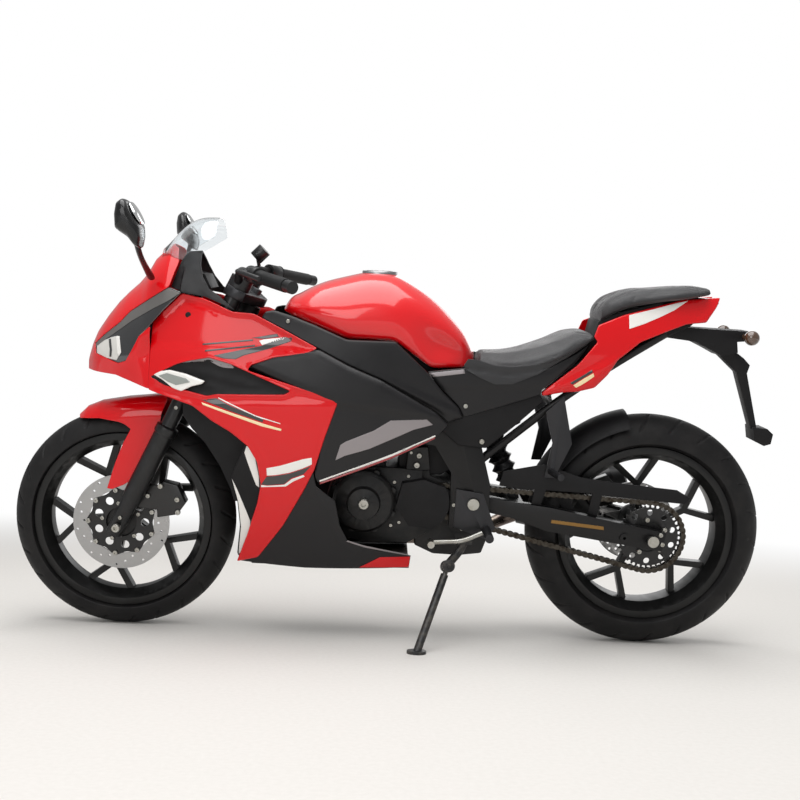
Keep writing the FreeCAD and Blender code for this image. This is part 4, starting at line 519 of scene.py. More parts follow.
def formed(out, outline, holes=(), relief=None, corner=6.0, edge=3.0, flush_x=None):
    """The form of a moulded panel: its rounded loops, and its distance from the middle plane at any x and
    z.  The bulge out(x, z) gains a relief(x, z) in millimetres, and rolls in at the edges like a quarter
    circle, except ahead of flush_x, where it meets its neighbour without a step."""
    loops = [rounded(outline, corner)] + [rounded(hole, corner) for hole in holes]

    def height(x, z):
        depth = depth_in(np.stack([x, z], 1), loops)
        if flush_x:
            depth = depth + np.clip((x - flush_x) / FADE, 0, 1) * BORDER
        roll = edge - np.sqrt(np.maximum(edge ** 2 - np.maximum(edge - depth, 0) ** 2, 0))
        shape = relief(x, z) * np.clip(depth / BORDER, 0, 1) if relief else 0
        return out(x, z) - roll + shape
    return loops, height


def both_sides(name, loops, height, slot, material, wall, step, body="chassis", weld=False):
    """Skin over an outline at height(x, z) to the left, and its mirror image to the right, in one mesh.
    Where they meet at the spine, weld joins the points that are less than 0.4 mm apart."""
    points, faces = filled(loops, step)
    x, z = points.T
    y = height(x, z)
    left = np.where(anticlockwise(points, faces)[:, None], faces[:, ::-1], faces)
    both = np.concatenate([np.stack([x, y, z], 1), np.stack([x, -y, z], 1)])
    faces = np.concatenate([left, left[:, ::-1] + len(x)])
    made = solid_mesh(name, leaning(both), faces, body, material)
    if weld:
        opened(made.data, lambda skin: bmesh.ops.remove_doubles(skin, verts=skin.verts, dist=0.0004))
    return walled(made, wall)


def panel(name, form, slot, material, step=9.0):
    """A pair of moulded panels, 3 mm thick."""
    return both_sides(name, *form, slot, material, 3.0, step)


def sticker(name, outline, form, material, lift=0.5, slot="fairing_red"):
    """A pair of vinyl stickers, 0.3 mm thick, lifted a hair above the panel that they lie on; a few are painted
    highlights.
    """
    both_sides(name, [rounded(outline, 1.0)], lambda x, z: form[1](x, z) + lift, slot, material, 0.3, 6.0)


def ridge(start, end, width, height):
    """Relief of a swage line: a step up of height over width millimetres, to the left of the line from
    start to end in side view."""
    start, end = np.array(start, float), np.array(end, float)
    normal = np.array([-(end - start)[1], (end - start)[0]]) / np.linalg.norm(end - start)

    def relief(x, z):
        across = (x - start[0]) * normal[0] + (z - start[1]) * normal[1]
        t = np.clip(across / width + 0.5, 0, 1)
        return height * t * t * (3 - 2 * t)
    return relief


def fairing_barrel(half_width):
    """The bulge of the fairing, or a layer parallel to it."""
    return barrel(half_width, 150, 580, 1700, 828)


FAIRING, INNER = fairing_barrel(240), fairing_barrel(235.7)
COVER = barrel(235.7, 150, 580, 1100, 828)
TANK_COVER = barrel(205, 150, 680, 1100, 420)
SEAT_PANEL = barrel(150, -100, 700, 2000, 600)
TAIL = barrel(130, -400, 760, 2000, 420)
print("fairing stands out", round(float(FAIRING(np.array(150.0), np.array(580.0)))), "mm at its widest")

# %% Red side fairings
VENT = [
    (600, 694), (533, 729), (506, 738), (451, 750), (395, 737), (246, 680), (260, 671), (428, 663),
    (452, 657), (508, 668), (560, 676)]
fairing_outline = [
    (603, 825), (573, 860), (531, 903), (472, 892), (400, 864), (346, 862), (275, 830), (184, 786),
    (210, 772), (289, 759), (345, 738), (353, 725), (229, 691), (127, 663), (158, 568), (180, 489),
    (206, 432), (257, 334), (322, 239), (378, 221), (348, 305), (322, 392), (313, 443), (323, 501),
    (347, 539), (390, 571), (438, 596), (488, 630), (604, 662)]
UPPER_STEP = 5.0
upper_swage = ridge((620, 770), (184, 786), 26, UPPER_STEP)
lower_swage = ridge((127, 663), (560, 640), 22, -4.0)


def fairing_relief(x, z):
    """Two swage lines, and a shallow scoop along the leading edge beside the wheel."""
    scoop = -7.0 * np.exp(-((x - 330) / 30) ** 2 - ((z - 470) / 90) ** 2)
    return upper_swage(x, z) - UPPER_STEP + lower_swage(x, z) + scoop


fairing_form = formed(FAIRING, fairing_outline, [VENT], fairing_relief, flush_x=575)
side_fairings = panel("side_fairing_skins", fairing_form, "fairing_red", red_lacquer)
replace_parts(side_fairings, "side_fairings")
print("side fairings:", len(side_fairings.data.polygons), "triangles")

# %% Vents, covers and tail
vent_outline = [
    (608, 692), (534, 734), (506, 743), (451, 755), (393, 742), (240, 681), (258, 666), (428, 658),
    (452, 652), (508, 663), (562, 671)]


def louvres(x, z):
    """Recess whose floor steps in towards the rear, with three shallow ribs along it."""
    rib = 2.2 * np.clip(np.cos((z - 700 - 0.2 * (x - 400)) / 5) * 3, 0, 1)
    return (rib - 9.0) * np.clip((600 - x) / 120, 0, 1) * np.clip((x - 235) / 60, 0, 1)


vent_form = formed(INNER, vent_outline, relief=louvres, edge=2.0)
cover_form = formed(COVER, [
    (179, 782), (105, 746), (24, 714), (-57, 669), (-116, 636), (-147, 606), (-119, 578), (172, 453),
    (180, 478), (172, 520), (166, 572), (140, 655), (229, 686), (350, 731), (348, 748), (289, 768),
    (210, 782)],
    relief=ridge((-147, 618), (190, 660), 16, 7.0), edge=4.0)
tank_cover_form = formed(TANK_COVER, [
    (330, 850), (275, 826), (184, 782), (105, 743), (24, 711), (-57, 666), (-116, 633), (-147, 606),
    (-187, 619), (-173, 646), (-131, 685), (-87, 736), (-6, 808), (114, 808), (196, 840), (256, 860),
    (300, 871), (322, 866)],
    relief=ridge((340, 852), (-150, 648), 10, 6.0), edge=5.0)
seat_panel_form = formed(SEAT_PANEL, [
    (-88, 734), (-180, 746), (-216, 744), (-300, 735), (-398, 754), (-470, 794), (-506, 819), (-470, 768),
    (-383, 695), (-380, 684), (-187.2, 619.6), (-173.4, 646), (-131.6, 686)],
    relief=ridge((-400, 706), (-100, 690), 12, 4.0), edge=3.0)
tail_form = formed(TAIL, [
    (-519, 824), (-509, 836), (-520, 866), (-586, 894), (-672, 918), (-745, 938), (-850, 947), (-839, 923),
    (-808, 882), (-753, 876), (-698, 855), (-631, 827), (-574, 780), (-550, 741), (-519, 707), (-477, 695),
    (-435, 691), (-387, 680), (-384, 690), (-471, 764)],
    relief=ridge((-430, 716), (-860, 930), 12, 5.0), corner=5.0)
for node, form, slot, material in (
        ("side_vents", vent_form, "matte_black", grained_moulding),
        ("frame_covers", cover_form, "cover_black", satin_moulding),
        ("tank_covers", tank_cover_form, "cover_black", satin_moulding),
        ("seat_panels", seat_panel_form, "cover_black", satin_moulding),
        ("tail_panels", tail_form, "fairing_red", red_lacquer)):
    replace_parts(panel(node + "_skins", form, slot, material), node)

# %% [markdown]
# ## Stripes and blocks of colour
#
# The graphics are cut vinyl under the clear coat: black, white and cream shapes that streak back from the
# lamps.  They could be painted with a texture, but a texture needs an unwrapped panel.  A sticker cut from
# the same formula as its panel lies on it exactly, keeps a crisp edge at any distance and takes its own
# finish.

# %% Vinyl colours
def coated(name, colour):
    """Vinyl under the panel's clear coat, whose gloss it shares."""
    return finish(name, colour, 0.3, Coat_Weight=1.0, Coat_Roughness=0.07)


vinyl_white = coated("white vinyl under clear coat", "#e9e7e2")
vinyl_black = coated("black vinyl under clear coat", "#0e0e0f")
vinyl_cream = coated("cream vinyl under clear coat", "#f0d9a8")
vinyl_red = coated("dark red pinstripe vinyl", "#8a0710")
# On the black covers the inset is bare vinyl, with fine metal flake in it; the same grey also makes painted
# highlights on lit edges.
grey_vinyl_and_highlight = grain(finish("silver grey vinyl and painted highlights", "#8f898a", 0.38, 0.05, Metallic=0.35), 0.8, 0.008)

# %% Graphics on the fairings, covers and tail
GRAPHICS = {
    "arrow_black": (fairing_form, vinyl_black, [
        (262, 812), (248, 808), (249, 800), (304, 779), (365, 760), (384, 750), (414, 750), (440, 756),
        (365, 775), (321, 786)]),
    "arrow_white": (fairing_form, vinyl_white, [
        (329, 797), (317, 801), (262, 809), (270, 803), (304, 793), (321, 787)]),
    "arrow_top": (fairing_form, vinyl_black, [(348, 803), (286, 816), (280, 809), (317, 802)]),
    "stripe_upper": (fairing_form, vinyl_black, [(470, 783), (344, 800), (344, 796), (470, 779)]),
    "stripe_lower": (fairing_form, vinyl_black, [(462, 768), (338, 787), (338, 783), (462, 764)]),
    "sweep_black": (fairing_form, vinyl_black, [
        (468, 647), (428, 653), (392, 637), (342, 620), (309, 608), (311, 601), (392, 624), (435, 638)]),
    "sweep_cream": (fairing_form, vinyl_cream, [
        (465, 641), (392, 621), (310, 598), (264, 587), (265, 582), (313, 591), (391, 614), (461, 635)]),
    "sweep_pale": (fairing_form, vinyl_white, [
        (423, 655.5), (329, 617), (267, 601), (267, 599), (329, 614), (423, 652.5)]),
    "block_white": (fairing_form, vinyl_white, [
        (299, 486), (264, 495), (210, 514), (188, 519), (187, 502), (209, 491), (242, 478), (276, 470),
        (298, 467)]),
    "block_black": (fairing_form, vinyl_black, [
        (298, 465), (276, 468), (242, 476), (209, 489), (189, 498), (207, 476), (237, 464), (254, 448),
        (298, 442), (312, 443)]),
    "block_edge": (fairing_form, vinyl_white, [
        (312, 442), (298, 440.5), (254, 446.5), (236, 462), (207, 474), (204, 470), (232, 456), (250, 442),
        (312, 436)]),
    "inset_grey": (cover_form, grey_vinyl_and_highlight, [
        (130, 514), (119, 553), (106, 562), (39, 591), (-2, 617), (-91, 621), (-107, 608), (-59, 595),
        (49, 545), (108, 526)]),
    "pinstripe_white": (cover_form, vinyl_white, [
        (168, 461), (98, 490), (-8, 533), (-114, 582), (-115, 578), (-8, 528), (97, 485), (167, 456)]),
    "pinstripe_red": (cover_form, vinyl_red, [
        (167, 455.5), (97, 484.5), (-8, 527.5), (-114, 577), (-114, 573), (-8, 522), (97, 479),
        (166, 451)]),
    "tail_white": (tail_form, vinyl_white, [
        (-599, 894), (-676, 915), (-726, 929), (-758, 936), (-720, 911), (-683, 893), (-640, 874),
        (-600, 860)]),
    "tail_cream": (tail_form, vinyl_cream, [
        (-462, 712), (-490, 732), (-511, 745), (-514, 737), (-491, 719), (-470, 706)]),
    "tail_black": (tail_form, vinyl_black, [
        (-453, 718), (-490, 742), (-507, 754), (-510, 748), (-490, 734), (-460, 714)]),
}
for name, (form, material, outline) in GRAPHICS.items():
    slot = "cover_black" if form is cover_form else "fairing_red"
    sticker(name, outline, form, material, slot=slot)
print("graphics:", len(GRAPHICS))

# %% [markdown]
# ## Nose and headlamps
#
# The nose is a pointed arch that shrinks towards its tip.  At each station along the bike we know its half
# width, where its shoulder lies and how high its spine runs, so the distance from the middle plane is again
# a formula of the side view.  The dark lamp lens, the satin band above it and the red cowl are all cut from
# that one surface, which is what makes them meet flush.

# %% The surface of the nose
def smoothed(stations, values, x):
    """Curve through values at stations, with slopes taken from its neighbours, read at x (Catmull-Rom)."""
    stations, values = np.asarray(stations, float), np.asarray(values, float)
    slope = np.gradient(values, stations)
    x = np.clip(x, stations[0], stations[-1])
    i = np.clip(np.searchsorted(stations, x, side="right") - 1, 0, len(stations) - 2)
    width = stations[i + 1] - stations[i]
    t = (x - stations[i]) / width
    return ((2 * t ** 3 - 3 * t ** 2 + 1) * values[i] + (t ** 3 - 2 * t ** 2 + t) * width * slope[i]
            + (3 * t ** 2 - 2 * t ** 3) * values[i + 1] + (t ** 3 - t ** 2) * width * slope[i + 1])


NOSE_STATIONS = [380, 500, 590, 662, 715, 768, 791]
NOSE_WIDTH = [200, 193, 176, 146, 112, 64, 26]
NOSE_SHOULDER = [740, 745, 745, 740, 735, 725, 712]
NOSE_ROUND = 1.7                                       # 2 would make the arch an ellipse
SPINE = np.array([
    (540, 1032), (576, 1026), (597, 1007), (620, 985), (641, 947), (662, 922), (689, 897), (715, 870),
    (741, 836), (768, 795), (781, 765), (789, 736), (792, 700)], float)


def nose(inset=0.0):
    """Distance from the middle plane: half width * (1 - h^n)^(1/n), with n = NOSE_ROUND and h from 0 at the
    shoulder to 1 at the spine, and a slow pull inwards below the shoulder.  Towards the fairings it eases
    into their surface.  The inset moves all of it inwards."""
    def out(x, z):
        width = smoothed(NOSE_STATIONS, NOSE_WIDTH, x) - inset
        shoulder = smoothed(NOSE_STATIONS, NOSE_SHOULDER, x)
        top = np.interp(x, SPINE[:, 0], SPINE[:, 1]) - 0.6 * inset
        h = np.clip((z - shoulder) / (top - shoulder), 0, 1)
        drop = np.clip((shoulder - z) / 100, 0, 1)
        arch = width * (1 - h ** NOSE_ROUND) ** (1 / NOSE_ROUND) * (1 - 0.08 * drop ** 2)
        side = FAIRING(x, z) + fairing_relief(x, z) - inset
        share = np.clip((660 - x) / 52, 0, 1) * np.clip((shoulder + 60 - z) / 60, 0, 1)
        share = share * share * (3 - 2 * share)
        return arch + share * (side - arch)
    return out


LENS_UPPER = [(564, 916), (666, 850), (694, 820), (739, 785), (766, 761)]
LENS_LOWER = [
    (762, 736), (690, 720), (667, 728), (649, 759), (633, 794), (603, 825), (573, 860), (531, 905)]
cowl_top = [
    (766, 763), (739, 787), (694, 822), (666, 852), (564, 918), (548, 980), (556, 1014), (576, 1025.5)]
cowl_chin = [
    (604.5, 818), (604.5, 664), (646, 676), (696, 690), (790, 692), (789, 736), (781, 765), (768, 762),
    (762, 738), (690, 720), (667, 728), (649, 759), (633, 792)]


def nose_shell(name, outline):
    """Both halves of a red piece of the nose, joined where they meet at the spine."""
    loops = [rounded(outline, 2.0, 4.0)]
    return both_sides(name, loops, nose(), "fairing_red", red_lacquer, 3.0, 7.0, weld=True)


spine_down = [tuple(p) for p in SPINE[2:11] - [0, 0.2]]
cowl = nose_shell("nose_cowl_skin", cowl_top + spine_down)
nose_shell("nose_chin_skin", cowl_chin)
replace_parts(cowl, "nose_cowl")
lens_form = ([rounded(LENS_UPPER + LENS_LOWER, 3.0)], nose(4.0))
lens = both_sides("headlamp_lenses", *lens_form, "lamp_lens", smoked_lens, 2.5, 7.0)
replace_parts(lens, "headlights")
band = [
    (566, 914), (666, 850), (694, 820), (739, 785), (766, 761), (764, 752), (736, 772), (690, 804),
    (660, 826), (600, 862), (560, 884), (534, 903)]
band_finish = grain(finish("satin grey lamp surround", "#5d5b59", 0.36, 0.05), 0.9, 0.015)
sticker("lamp_surrounds", band, lens_form, band_finish, lift=1.2, slot="lamp_lens")
position_light = [
    (759, 757), (742, 770), (712, 783), (694, 788), (686, 742), (694, 727), (724, 729), (757, 738)]
reflector = [(699, 785), (689, 788), (681, 748), (687, 738), (692, 746)]
divider = [(722, 777), (715, 779), (709, 752), (710, 734), (716, 733), (716, 752)]
sticker("position_lights", position_light, lens_form, white_lens, lift=0.8, slot="lamp_lens")
sticker("position_reflectors", reflector, lens_form, vinyl_white, lift=1.6, slot="lamp_lens")
sticker("position_dividers", divider, lens_form, vinyl_black, lift=1.6, slot="lamp_lens")
print("nose:", len(cowl.data.polygons), "faces")

# %% Front turn signals
signal_outline = [
    (591, 700), (574, 710), (549, 715), (506, 708), (457, 693), (465, 685), (490, 678), (517, 664),
    (539, 670), (567, 689)]
lamp_glass = [(577, 699), (555, 707), (505, 697), (494, 689), (530, 679), (552, 686)]
signal_form = formed(fairing_barrel(243), signal_outline, edge=4.0, corner=4.0)
signals = panel("front_signal_rims", signal_form, "signal_lens", vinyl_white, step=6.0)
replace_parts(signals, "front_signals")
signal_lens = finish("frosted signal lens", "#8f948f", 0.12, IOR=1.585, Coat_Weight=1.0, Coat_Roughness=0.03)
sticker("front_signal_lenses", lamp_glass, signal_form, signal_lens, lift=1.0, slot="signal_lens")
print("signal rims:", len(signals.data.polygons), "triangles")

# %% [markdown]
# ## Tank and seats
#
# The tank is two pressed steel halves: a high crown, full shoulders, and a hollow on each side for the
# rider's knees.  A ring of points is laid across the bike at each station along it, and the rings are
# joined.  The width and crown height run through a few measured stations, and the knee hollow is a soft bump
# taken out of the width.

# %% Closed rings joined into a skin
def ring_faces(rings, around):
    """Quads between neighbouring closed rings, and a fan of triangles to one extra point at each end."""
    quads = grid_faces(rings, around, rows_close=False)
    j, k = np.arange(around), (np.arange(around) + 1) % around
    first, last = rings * around, rings * around + 1
    start = np.stack([k, j, np.full(around, first)], 1)
    end = np.stack([(rings - 1) * around + j, (rings - 1) * around + k, np.full(around, last)], 1)
    return quads.tolist() + start.tolist() + end.tolist()


def lofted(name, rings, body, material):
    """Closed skin over an array of rings, shaped (rings, around, 3) in upright millimetres."""
    ends = np.stack([rings[0].mean(0), rings[-1].mean(0)])
    points = np.concatenate([rings.reshape(-1, 3), ends])
    made = solid_mesh(name, leaning(points), ring_faces(*rings.shape[:2]), body, material)
    outward(made)
    return made


def refined(obj):
    """One level of Catmull-Clark subdivision, the same in the view and in the render."""
    refine = obj.modifiers.new("refine", "SUBSURF")
    refine.levels = refine.render_levels = 1


# %% Tank
TANK_X = [-215, -192, -160, -110, -60, 0, 60, 130, 196, 243, 273, 284]
TANK_TOP = [781, 824, 864, 910, 943, 970, 974, 959, 938, 913, 893, 874]
TANK_WIDTH = [92, 112, 130, 154, 168, 176, 175, 170, 155, 137, 120, 108]
TANK_MIDDLE, TANK_HALF = 34.5, 249.5
x = TANK_MIDDLE + TANK_HALF * np.sin(np.linspace(-1, 1, 60) * np.pi / 2)
blunt = (1 - np.abs(np.clip((x - TANK_MIDDLE) / (TANK_HALF + 1), -1, 1)) ** 9) ** (1 / 2.6)
top = smoothed(TANK_X, TANK_TOP, x)
width = smoothed(TANK_X, TANK_WIDTH, x) * blunt
base = np.interp(x, [-215, -100, -5, 115, 196, 284], [740, 740, 806, 806, 836, 866])
phi = np.linspace(0, np.pi, 49)
rise = np.sin(phi) ** 0.85
reach = np.sign(np.cos(phi)) * (1 - rise ** 2.5) ** (1 / 2.1) * (1 - 0.1 * (1 - rise) ** 2)
knee = 0.2 * np.exp(-((x[:, None] + 128) / 62) ** 2 - ((rise - 0.36) / 0.26) ** 2)
flare = 1 + 0.03 * np.exp(-((x[:, None] - 150) / 110) ** 2 - ((rise - 0.3) / 0.3) ** 2)
crown = np.stack(np.broadcast_arrays(x[:, None], width[:, None] * reach * (1 - knee) * flare,
                                     base[:, None] + (top - base)[:, None] * rise), -1)
share = np.linspace(0, 1, 9)[1:-1, None, None]
under = crown[:, -1] * (1 - share) + crown[:, 0] * share
rings = np.concatenate([crown, under.swapaxes(0, 1)], 1)
tank = lofted("tank_skin", rings, "chassis", tank_lacquer)
refined(tank)
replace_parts(tank, "fuel_tank")


# %% Shapes turned about an axis
def spun(name, profile, centre_x, body, material):
    """Closed ring about an upright axis: a profile of (radius, height) points, turned in 64 equal steps."""
    angle = np.linspace(0, 2 * np.pi, 64, endpoint=False)[:, None]
    radius, height = np.array(profile, float).T[:, None]
    points = np.stack(np.broadcast_arrays(centre_x - radius * np.sin(angle), radius * np.cos(angle),
                                          height), -1)
    faces = grid_faces(*points.shape[:2])
    made = solid_mesh(name, leaning(points.reshape(-1, 3)), faces, body, material)
    outward(made)
    return made


FILLER_X = 40
COLLAR = [
    (30, 955), (46, 955), (46, 975.6), (44.5, 976.8), (38.5, 976.8), (37.2, 975), (37.2, 969), (30, 969)]
LID = [
    (0.4, 971), (36, 971), (36, 976.5), (34.5, 978), (27, 978.3), (25.5, 976.6), (14, 976.4), (12.5, 978.6),
    (0.4, 979)]
spun("filler_collar", COLLAR, FILLER_X, "chassis", satin_aluminium)
lid = spun("filler_lid", LID, FILLER_X, "fuel_lid", satin_aluminium)
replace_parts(lid, "fuel_lid")
print("tank:", len(tank.data.polygons), "faces")

# %% [markdown]
# ### Seats
#
# A motorcycle seat is foam under stretched vinyl.  A loft gives the foam block; a short cloth simulation
# with a little air pressure then draws the cover tight over it, which rounds the edges and crowns the top
# the way a stapled cover does.  Its underside is pinned, because a plastic base holds it flat.

# %% Foam blocks
def foam(rows, inset=4):
    """Rings of a seat: rows of x, half width, base, shoulder and top; each ring is rounded like a
    superellipse. The foam is smaller than the cover by the inset, all round except at the base."""
    rows = np.array(rows, float)
    x = np.linspace(rows[0, 0] - inset, rows[-1, 0] + inset, 36)
    order = rows[:, 0].argsort()
    width, base, shoulder, top = (smoothed(rows[order, 0], rows[order, k], x) for k in (1, 2, 3, 4))
    angle = np.linspace(0, 2 * np.pi, 40, endpoint=False)
    wide = np.sign(np.cos(angle)) * np.abs(np.cos(angle)) ** 0.5
    high = np.sign(np.sin(angle)) * np.abs(np.sin(angle)) ** 0.75
    middle = shoulder * 0.5 + base * 0.5
    z = np.where(high > 0, middle[:, None] + (top - inset - middle)[:, None] * high,
                 middle[:, None] + (middle - base)[:, None] * high)
    return np.stack(np.broadcast_arrays(x[:, None], (width - inset)[:, None] * wide, z), -1)


VOXEL, MOST_SWELL = 0.005, 0.005                       # metres
CLOTH_FRAMES = 20


def upholstered(node, rows):
    """Seat with its cover: the foam's rings, remeshed evenly, blown up a little as cloth with the underside
    pinned, and no point moved by more than MOST_SWELL."""
    seat = lofted(node + "_cover", foam(rows), "chassis", seat_vinyl)
    even = seat.modifiers.new("even", "REMESH")
    even.mode, even.voxel_size = "VOXEL", VOXEL
    still = seat.evaluated_get(bpy.context.evaluated_depsgraph_get())
    seat.data = bpy.data.meshes.new_from_object(still)
    seat.modifiers.clear()
    start = coordinates(seat.data)
    held = np.nonzero(coordinates(seat.data, "normal") @ axis_z < -0.55)[0]
    seat.vertex_groups.new(name="base").add(held.tolist(), 1.0, "REPLACE")
    cover = seat.modifiers.new("cover", "CLOTH")
    cover.settings.use_pressure, cover.settings.uniform_pressure_force = True, 4.0
    cover.settings.vertex_group_mass = "base"
    cover.settings.tension_stiffness = cover.settings.compression_stiffness = 25
    cover.settings.effector_weights.gravity = 0
    for moment in range(1, CLOTH_FRAMES + 1):
        bpy.context.scene.frame_set(moment)
    blown = seat.evaluated_get(bpy.context.evaluated_depsgraph_get()).data
    move = coordinates(blown) - start
    far = np.linalg.norm(move, axis=1, keepdims=True)
    move *= np.minimum(1, MOST_SWELL / np.maximum(far, 1e-9))
    seat.modifiers.clear()
    seat.data.vertices.foreach_set("co", (start + move).ravel())
    seat.data.polygons.foreach_set("use_smooth", np.full(len(seat.data.polygons), True))
    seat.data.materials.clear()
    seat.data.materials.append(seat_vinyl)
    seat.data.update()
    bpy.context.scene.frame_set(1)
    refined(seat)
    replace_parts(seat, node)
    return seat


rider = upholstered("rider_seat", [
    (-222, 80, 738, 760, 779), (-300, 124, 738, 764, 783), (-400, 142, 760, 792, 813),
    (-470, 134, 800, 824, 843), (-516, 112, 828, 839, 850)])
passenger = upholstered("passenger_seat", [
    (-528, 80, 868, 890, 908), (-545, 92, 880, 912, 932), (-575, 98, 898, 930, 949),
    (-670, 100, 925, 950, 963), (-760, 92, 940, 960, 972), (-818, 74, 952, 964, 974)])
print("seats:", len(rider.data.polygons), len(passenger.data.polygons), "faces")

# %% [markdown]
# ## Tyres
#
# A tyre's tread is cut into its mould, so its grooves are part of the form: they show on the tyre's
# outline.  We bend one cross-section round the axle and take the groove depth away from it.  The grooves
# sweep back from the middle in turn on each side and grow wider towards the shoulder, and a thin raised
# line runs round the sidewall.

# %% Tyres with a cut tread
BEAD_RADIUS, TOE_RADIUS = 234.5, 219.2                 # where the sidewall meets the rim, and its toe inside
RIB_RADIUS = 246.0                                     # the raised line round the sidewall
GROOVE_DEPTH = 3.6


def tyre_skin(node, centre, body, radius, width, seat, pairs):
    """Tyre: the cross-section follows a half circle over the tread and an easing line down to the rim.
    With s from -1 to 1 across the tread and a the angle round the wheel, a groove lies where a - 0.2 *
    |s|^1.3 is near a multiple of the pitch, and its depth fades out at the middle and at the shoulder."""
    crown = width / 2
    lap = np.linspace(0, 2 * np.pi, pairs * 28, endpoint=False)
    turn, slant = np.meshgrid(lap, np.linspace(-np.pi / 2, np.pi / 2, 61), indexing="ij")
    s = slant / (np.pi / 2)
    pitch = 2 * np.pi / pairs
    shifted = turn + np.where(s > 0, 0, pitch / 2) - 0.2 * np.abs(s) ** 1.3
    phase = np.abs((shifted / pitch + 0.5) % 1 - 0.5) * pitch * radius
    half = 2.2 + 2.2 * np.abs(s)
    depth = np.clip((half - phase) / 1.2 + 0.5, 0, 1)
    depth *= np.clip((np.abs(s) - 0.07) / 0.05, 0, 1) * np.clip((0.72 - np.abs(s)) / 0.05, 0, 1)
    reach = crown - GROOVE_DEPTH * depth
    tread = np.stack([turn, reach * np.sin(slant), radius - crown + reach * np.cos(slant)], -1)
    fall = np.linspace(0, 1, 9)[1:]
    wall_y = crown + (seat / 2 - 0.3 - crown) * fall ** 1.5
    wall_r = (radius - crown) + (BEAD_RADIUS - (radius - crown)) * fall
    wall_y = wall_y + 1.2 * np.exp(-((wall_r - RIB_RADIUS) / 3) ** 2)

    def hoop(y, r):
        """Points of the cross-section at distances y and radii r, repeated at every angle of the lap."""
        return np.stack(np.broadcast_arrays(lap[:, None], y, r), -1)

    toe_y = np.array([seat / 2 - 16, seat / 2 - 0.6])
    whole = np.concatenate([
        hoop(0.0, radius - 16), hoop(-toe_y, TOE_RADIUS), hoop(-wall_y, wall_r)[:, ::-1], tread,
        hoop(wall_y, wall_r), hoop(toe_y, TOE_RADIUS)[:, ::-1]], 1)
    angle, y, r = whole[..., 0], whole[..., 1], whole[..., 2]
    points = centre + np.stack([r * np.sin(angle), y, r * np.cos(angle)], -1)
    faces = grid_faces(*points.shape[:2])
    made = solid_mesh(node + "_skin", leaning(points.reshape(-1, 3)), faces, body, tyre_rubber)
    outward(made)
    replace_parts(made, node)
    return made


front_tyre = tyre_skin("front_tyre", FRONT_AXLE, "front_wheel", 293, 110, 84, 24)
rear_tyre = tyre_skin("rear_tyre", REAR_AXLE, "rear_wheel", 314, 140, 108, 22)
print("tyres:", len(front_tyre.data.polygons), len(rear_tyre.data.polygons), "quads")

# %% [markdown]
# ## Castings and brackets
#
# A casting has no sharp corner: the sand mould rounds every edge by a millimetre or two, and it is this
# thin bright line that tells the eye that a black part is metal.  Each of these pieces is a copy of its hard
# part, with its triangles merged back into flat faces, and then bevelled.

# %% Rounded copies of hard parts
def bevelled(obj, width_mm, angle=30):
    """Rounds the edges by width_mm where faces meet at more than angle degrees."""
    ease = obj.modifiers.new("ease", "BEVEL")
    ease.width, ease.segments, ease.limit_method = width_mm / 1000, 2, "ANGLE"
    ease.angle_limit, ease.harden_normals = np.radians(angle), True


def merged(shell):
    """Joins the points that share a place, and then the triangles that share a plane."""
    bmesh.ops.remove_doubles(shell, verts=shell.verts, dist=0.00002)
    bmesh.ops.dissolve_limit(shell, angle_limit=np.radians(1.5), verts=shell.verts, edges=shell.edges)


def eased(node, width_mm, body):
    """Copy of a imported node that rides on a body, with its edges rounded by width_mm."""
    mesh = nodes[node].data.copy()
    made = bpy.data.objects.new(node + "_eased", mesh)
    bpy.context.collection.objects.link(made)
    opened(mesh, merged)
    mesh.polygons.foreach_set("use_smooth", np.full(len(mesh.polygons), True))
    mesh.materials.clear()
    mesh.materials.append(nodes[node].material_slots[0].material)
    bevelled(made, width_mm, 32)
    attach(made, body)
    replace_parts(made, node)


bodies = frame["record"]["behaviour"]["bodies"]
body_of = {node: body for body, members in bodies.items() for node in members}
EASED = {                                              # radius of the rounded edges, mm
    "front_rim": 2.0, "rear_rim": 2.0, "rear_disc": 0.5, "rear_sprocket": 0.5, "front_caliper": 2.5,
    "rear_caliper": 2.5, "fork_legs": 1.0, "triple_clamps": 2.5, "hand_controls": 2.0, "grips": 1.5,
    "swingarm": 3.0, "main_frame": 2.5, "engine": 5.0, "engine_covers": 2.5, "sprocket_cover": 5.0,
    "footrests": 1.5, "plate_hanger": 2.0, "stand_bracket": 1.5, "side_stand": 1.2,
    "chain_guard": 1.5, "radiator": 1.5, "instrument_panel": 3.0, "rear_hugger": 1.0,
    "belly_pan": 1.5, "tail_tray": 1.5, "inner_cowl": 1.2, "rear_shock": 1.0, "tail_light": 2.0,
}
for node, width in EASED.items():
    eased(node, width, body_of[node])
print("eased:", len(EASED), "parts")

# %% [markdown]
# ## Bolts, brake discs and sprocket
#
# Bright bolt heads on black parts are what makes machinery look assembled.  A socket head is a turned
# profile with a sunken middle; one small head is worked out once and copied to every place in one
# array.  Where a bolt sits on a curved part, a ray shot sideways at the part finds how far out its surface
# is.

# %% Bolt heads
HEAD = np.array([(1, -0.3), (1, 0.7), (0.86, 0.9), (0.5, 0.9), (0.5, 0.35)])     # radius, height
STEPS = 12


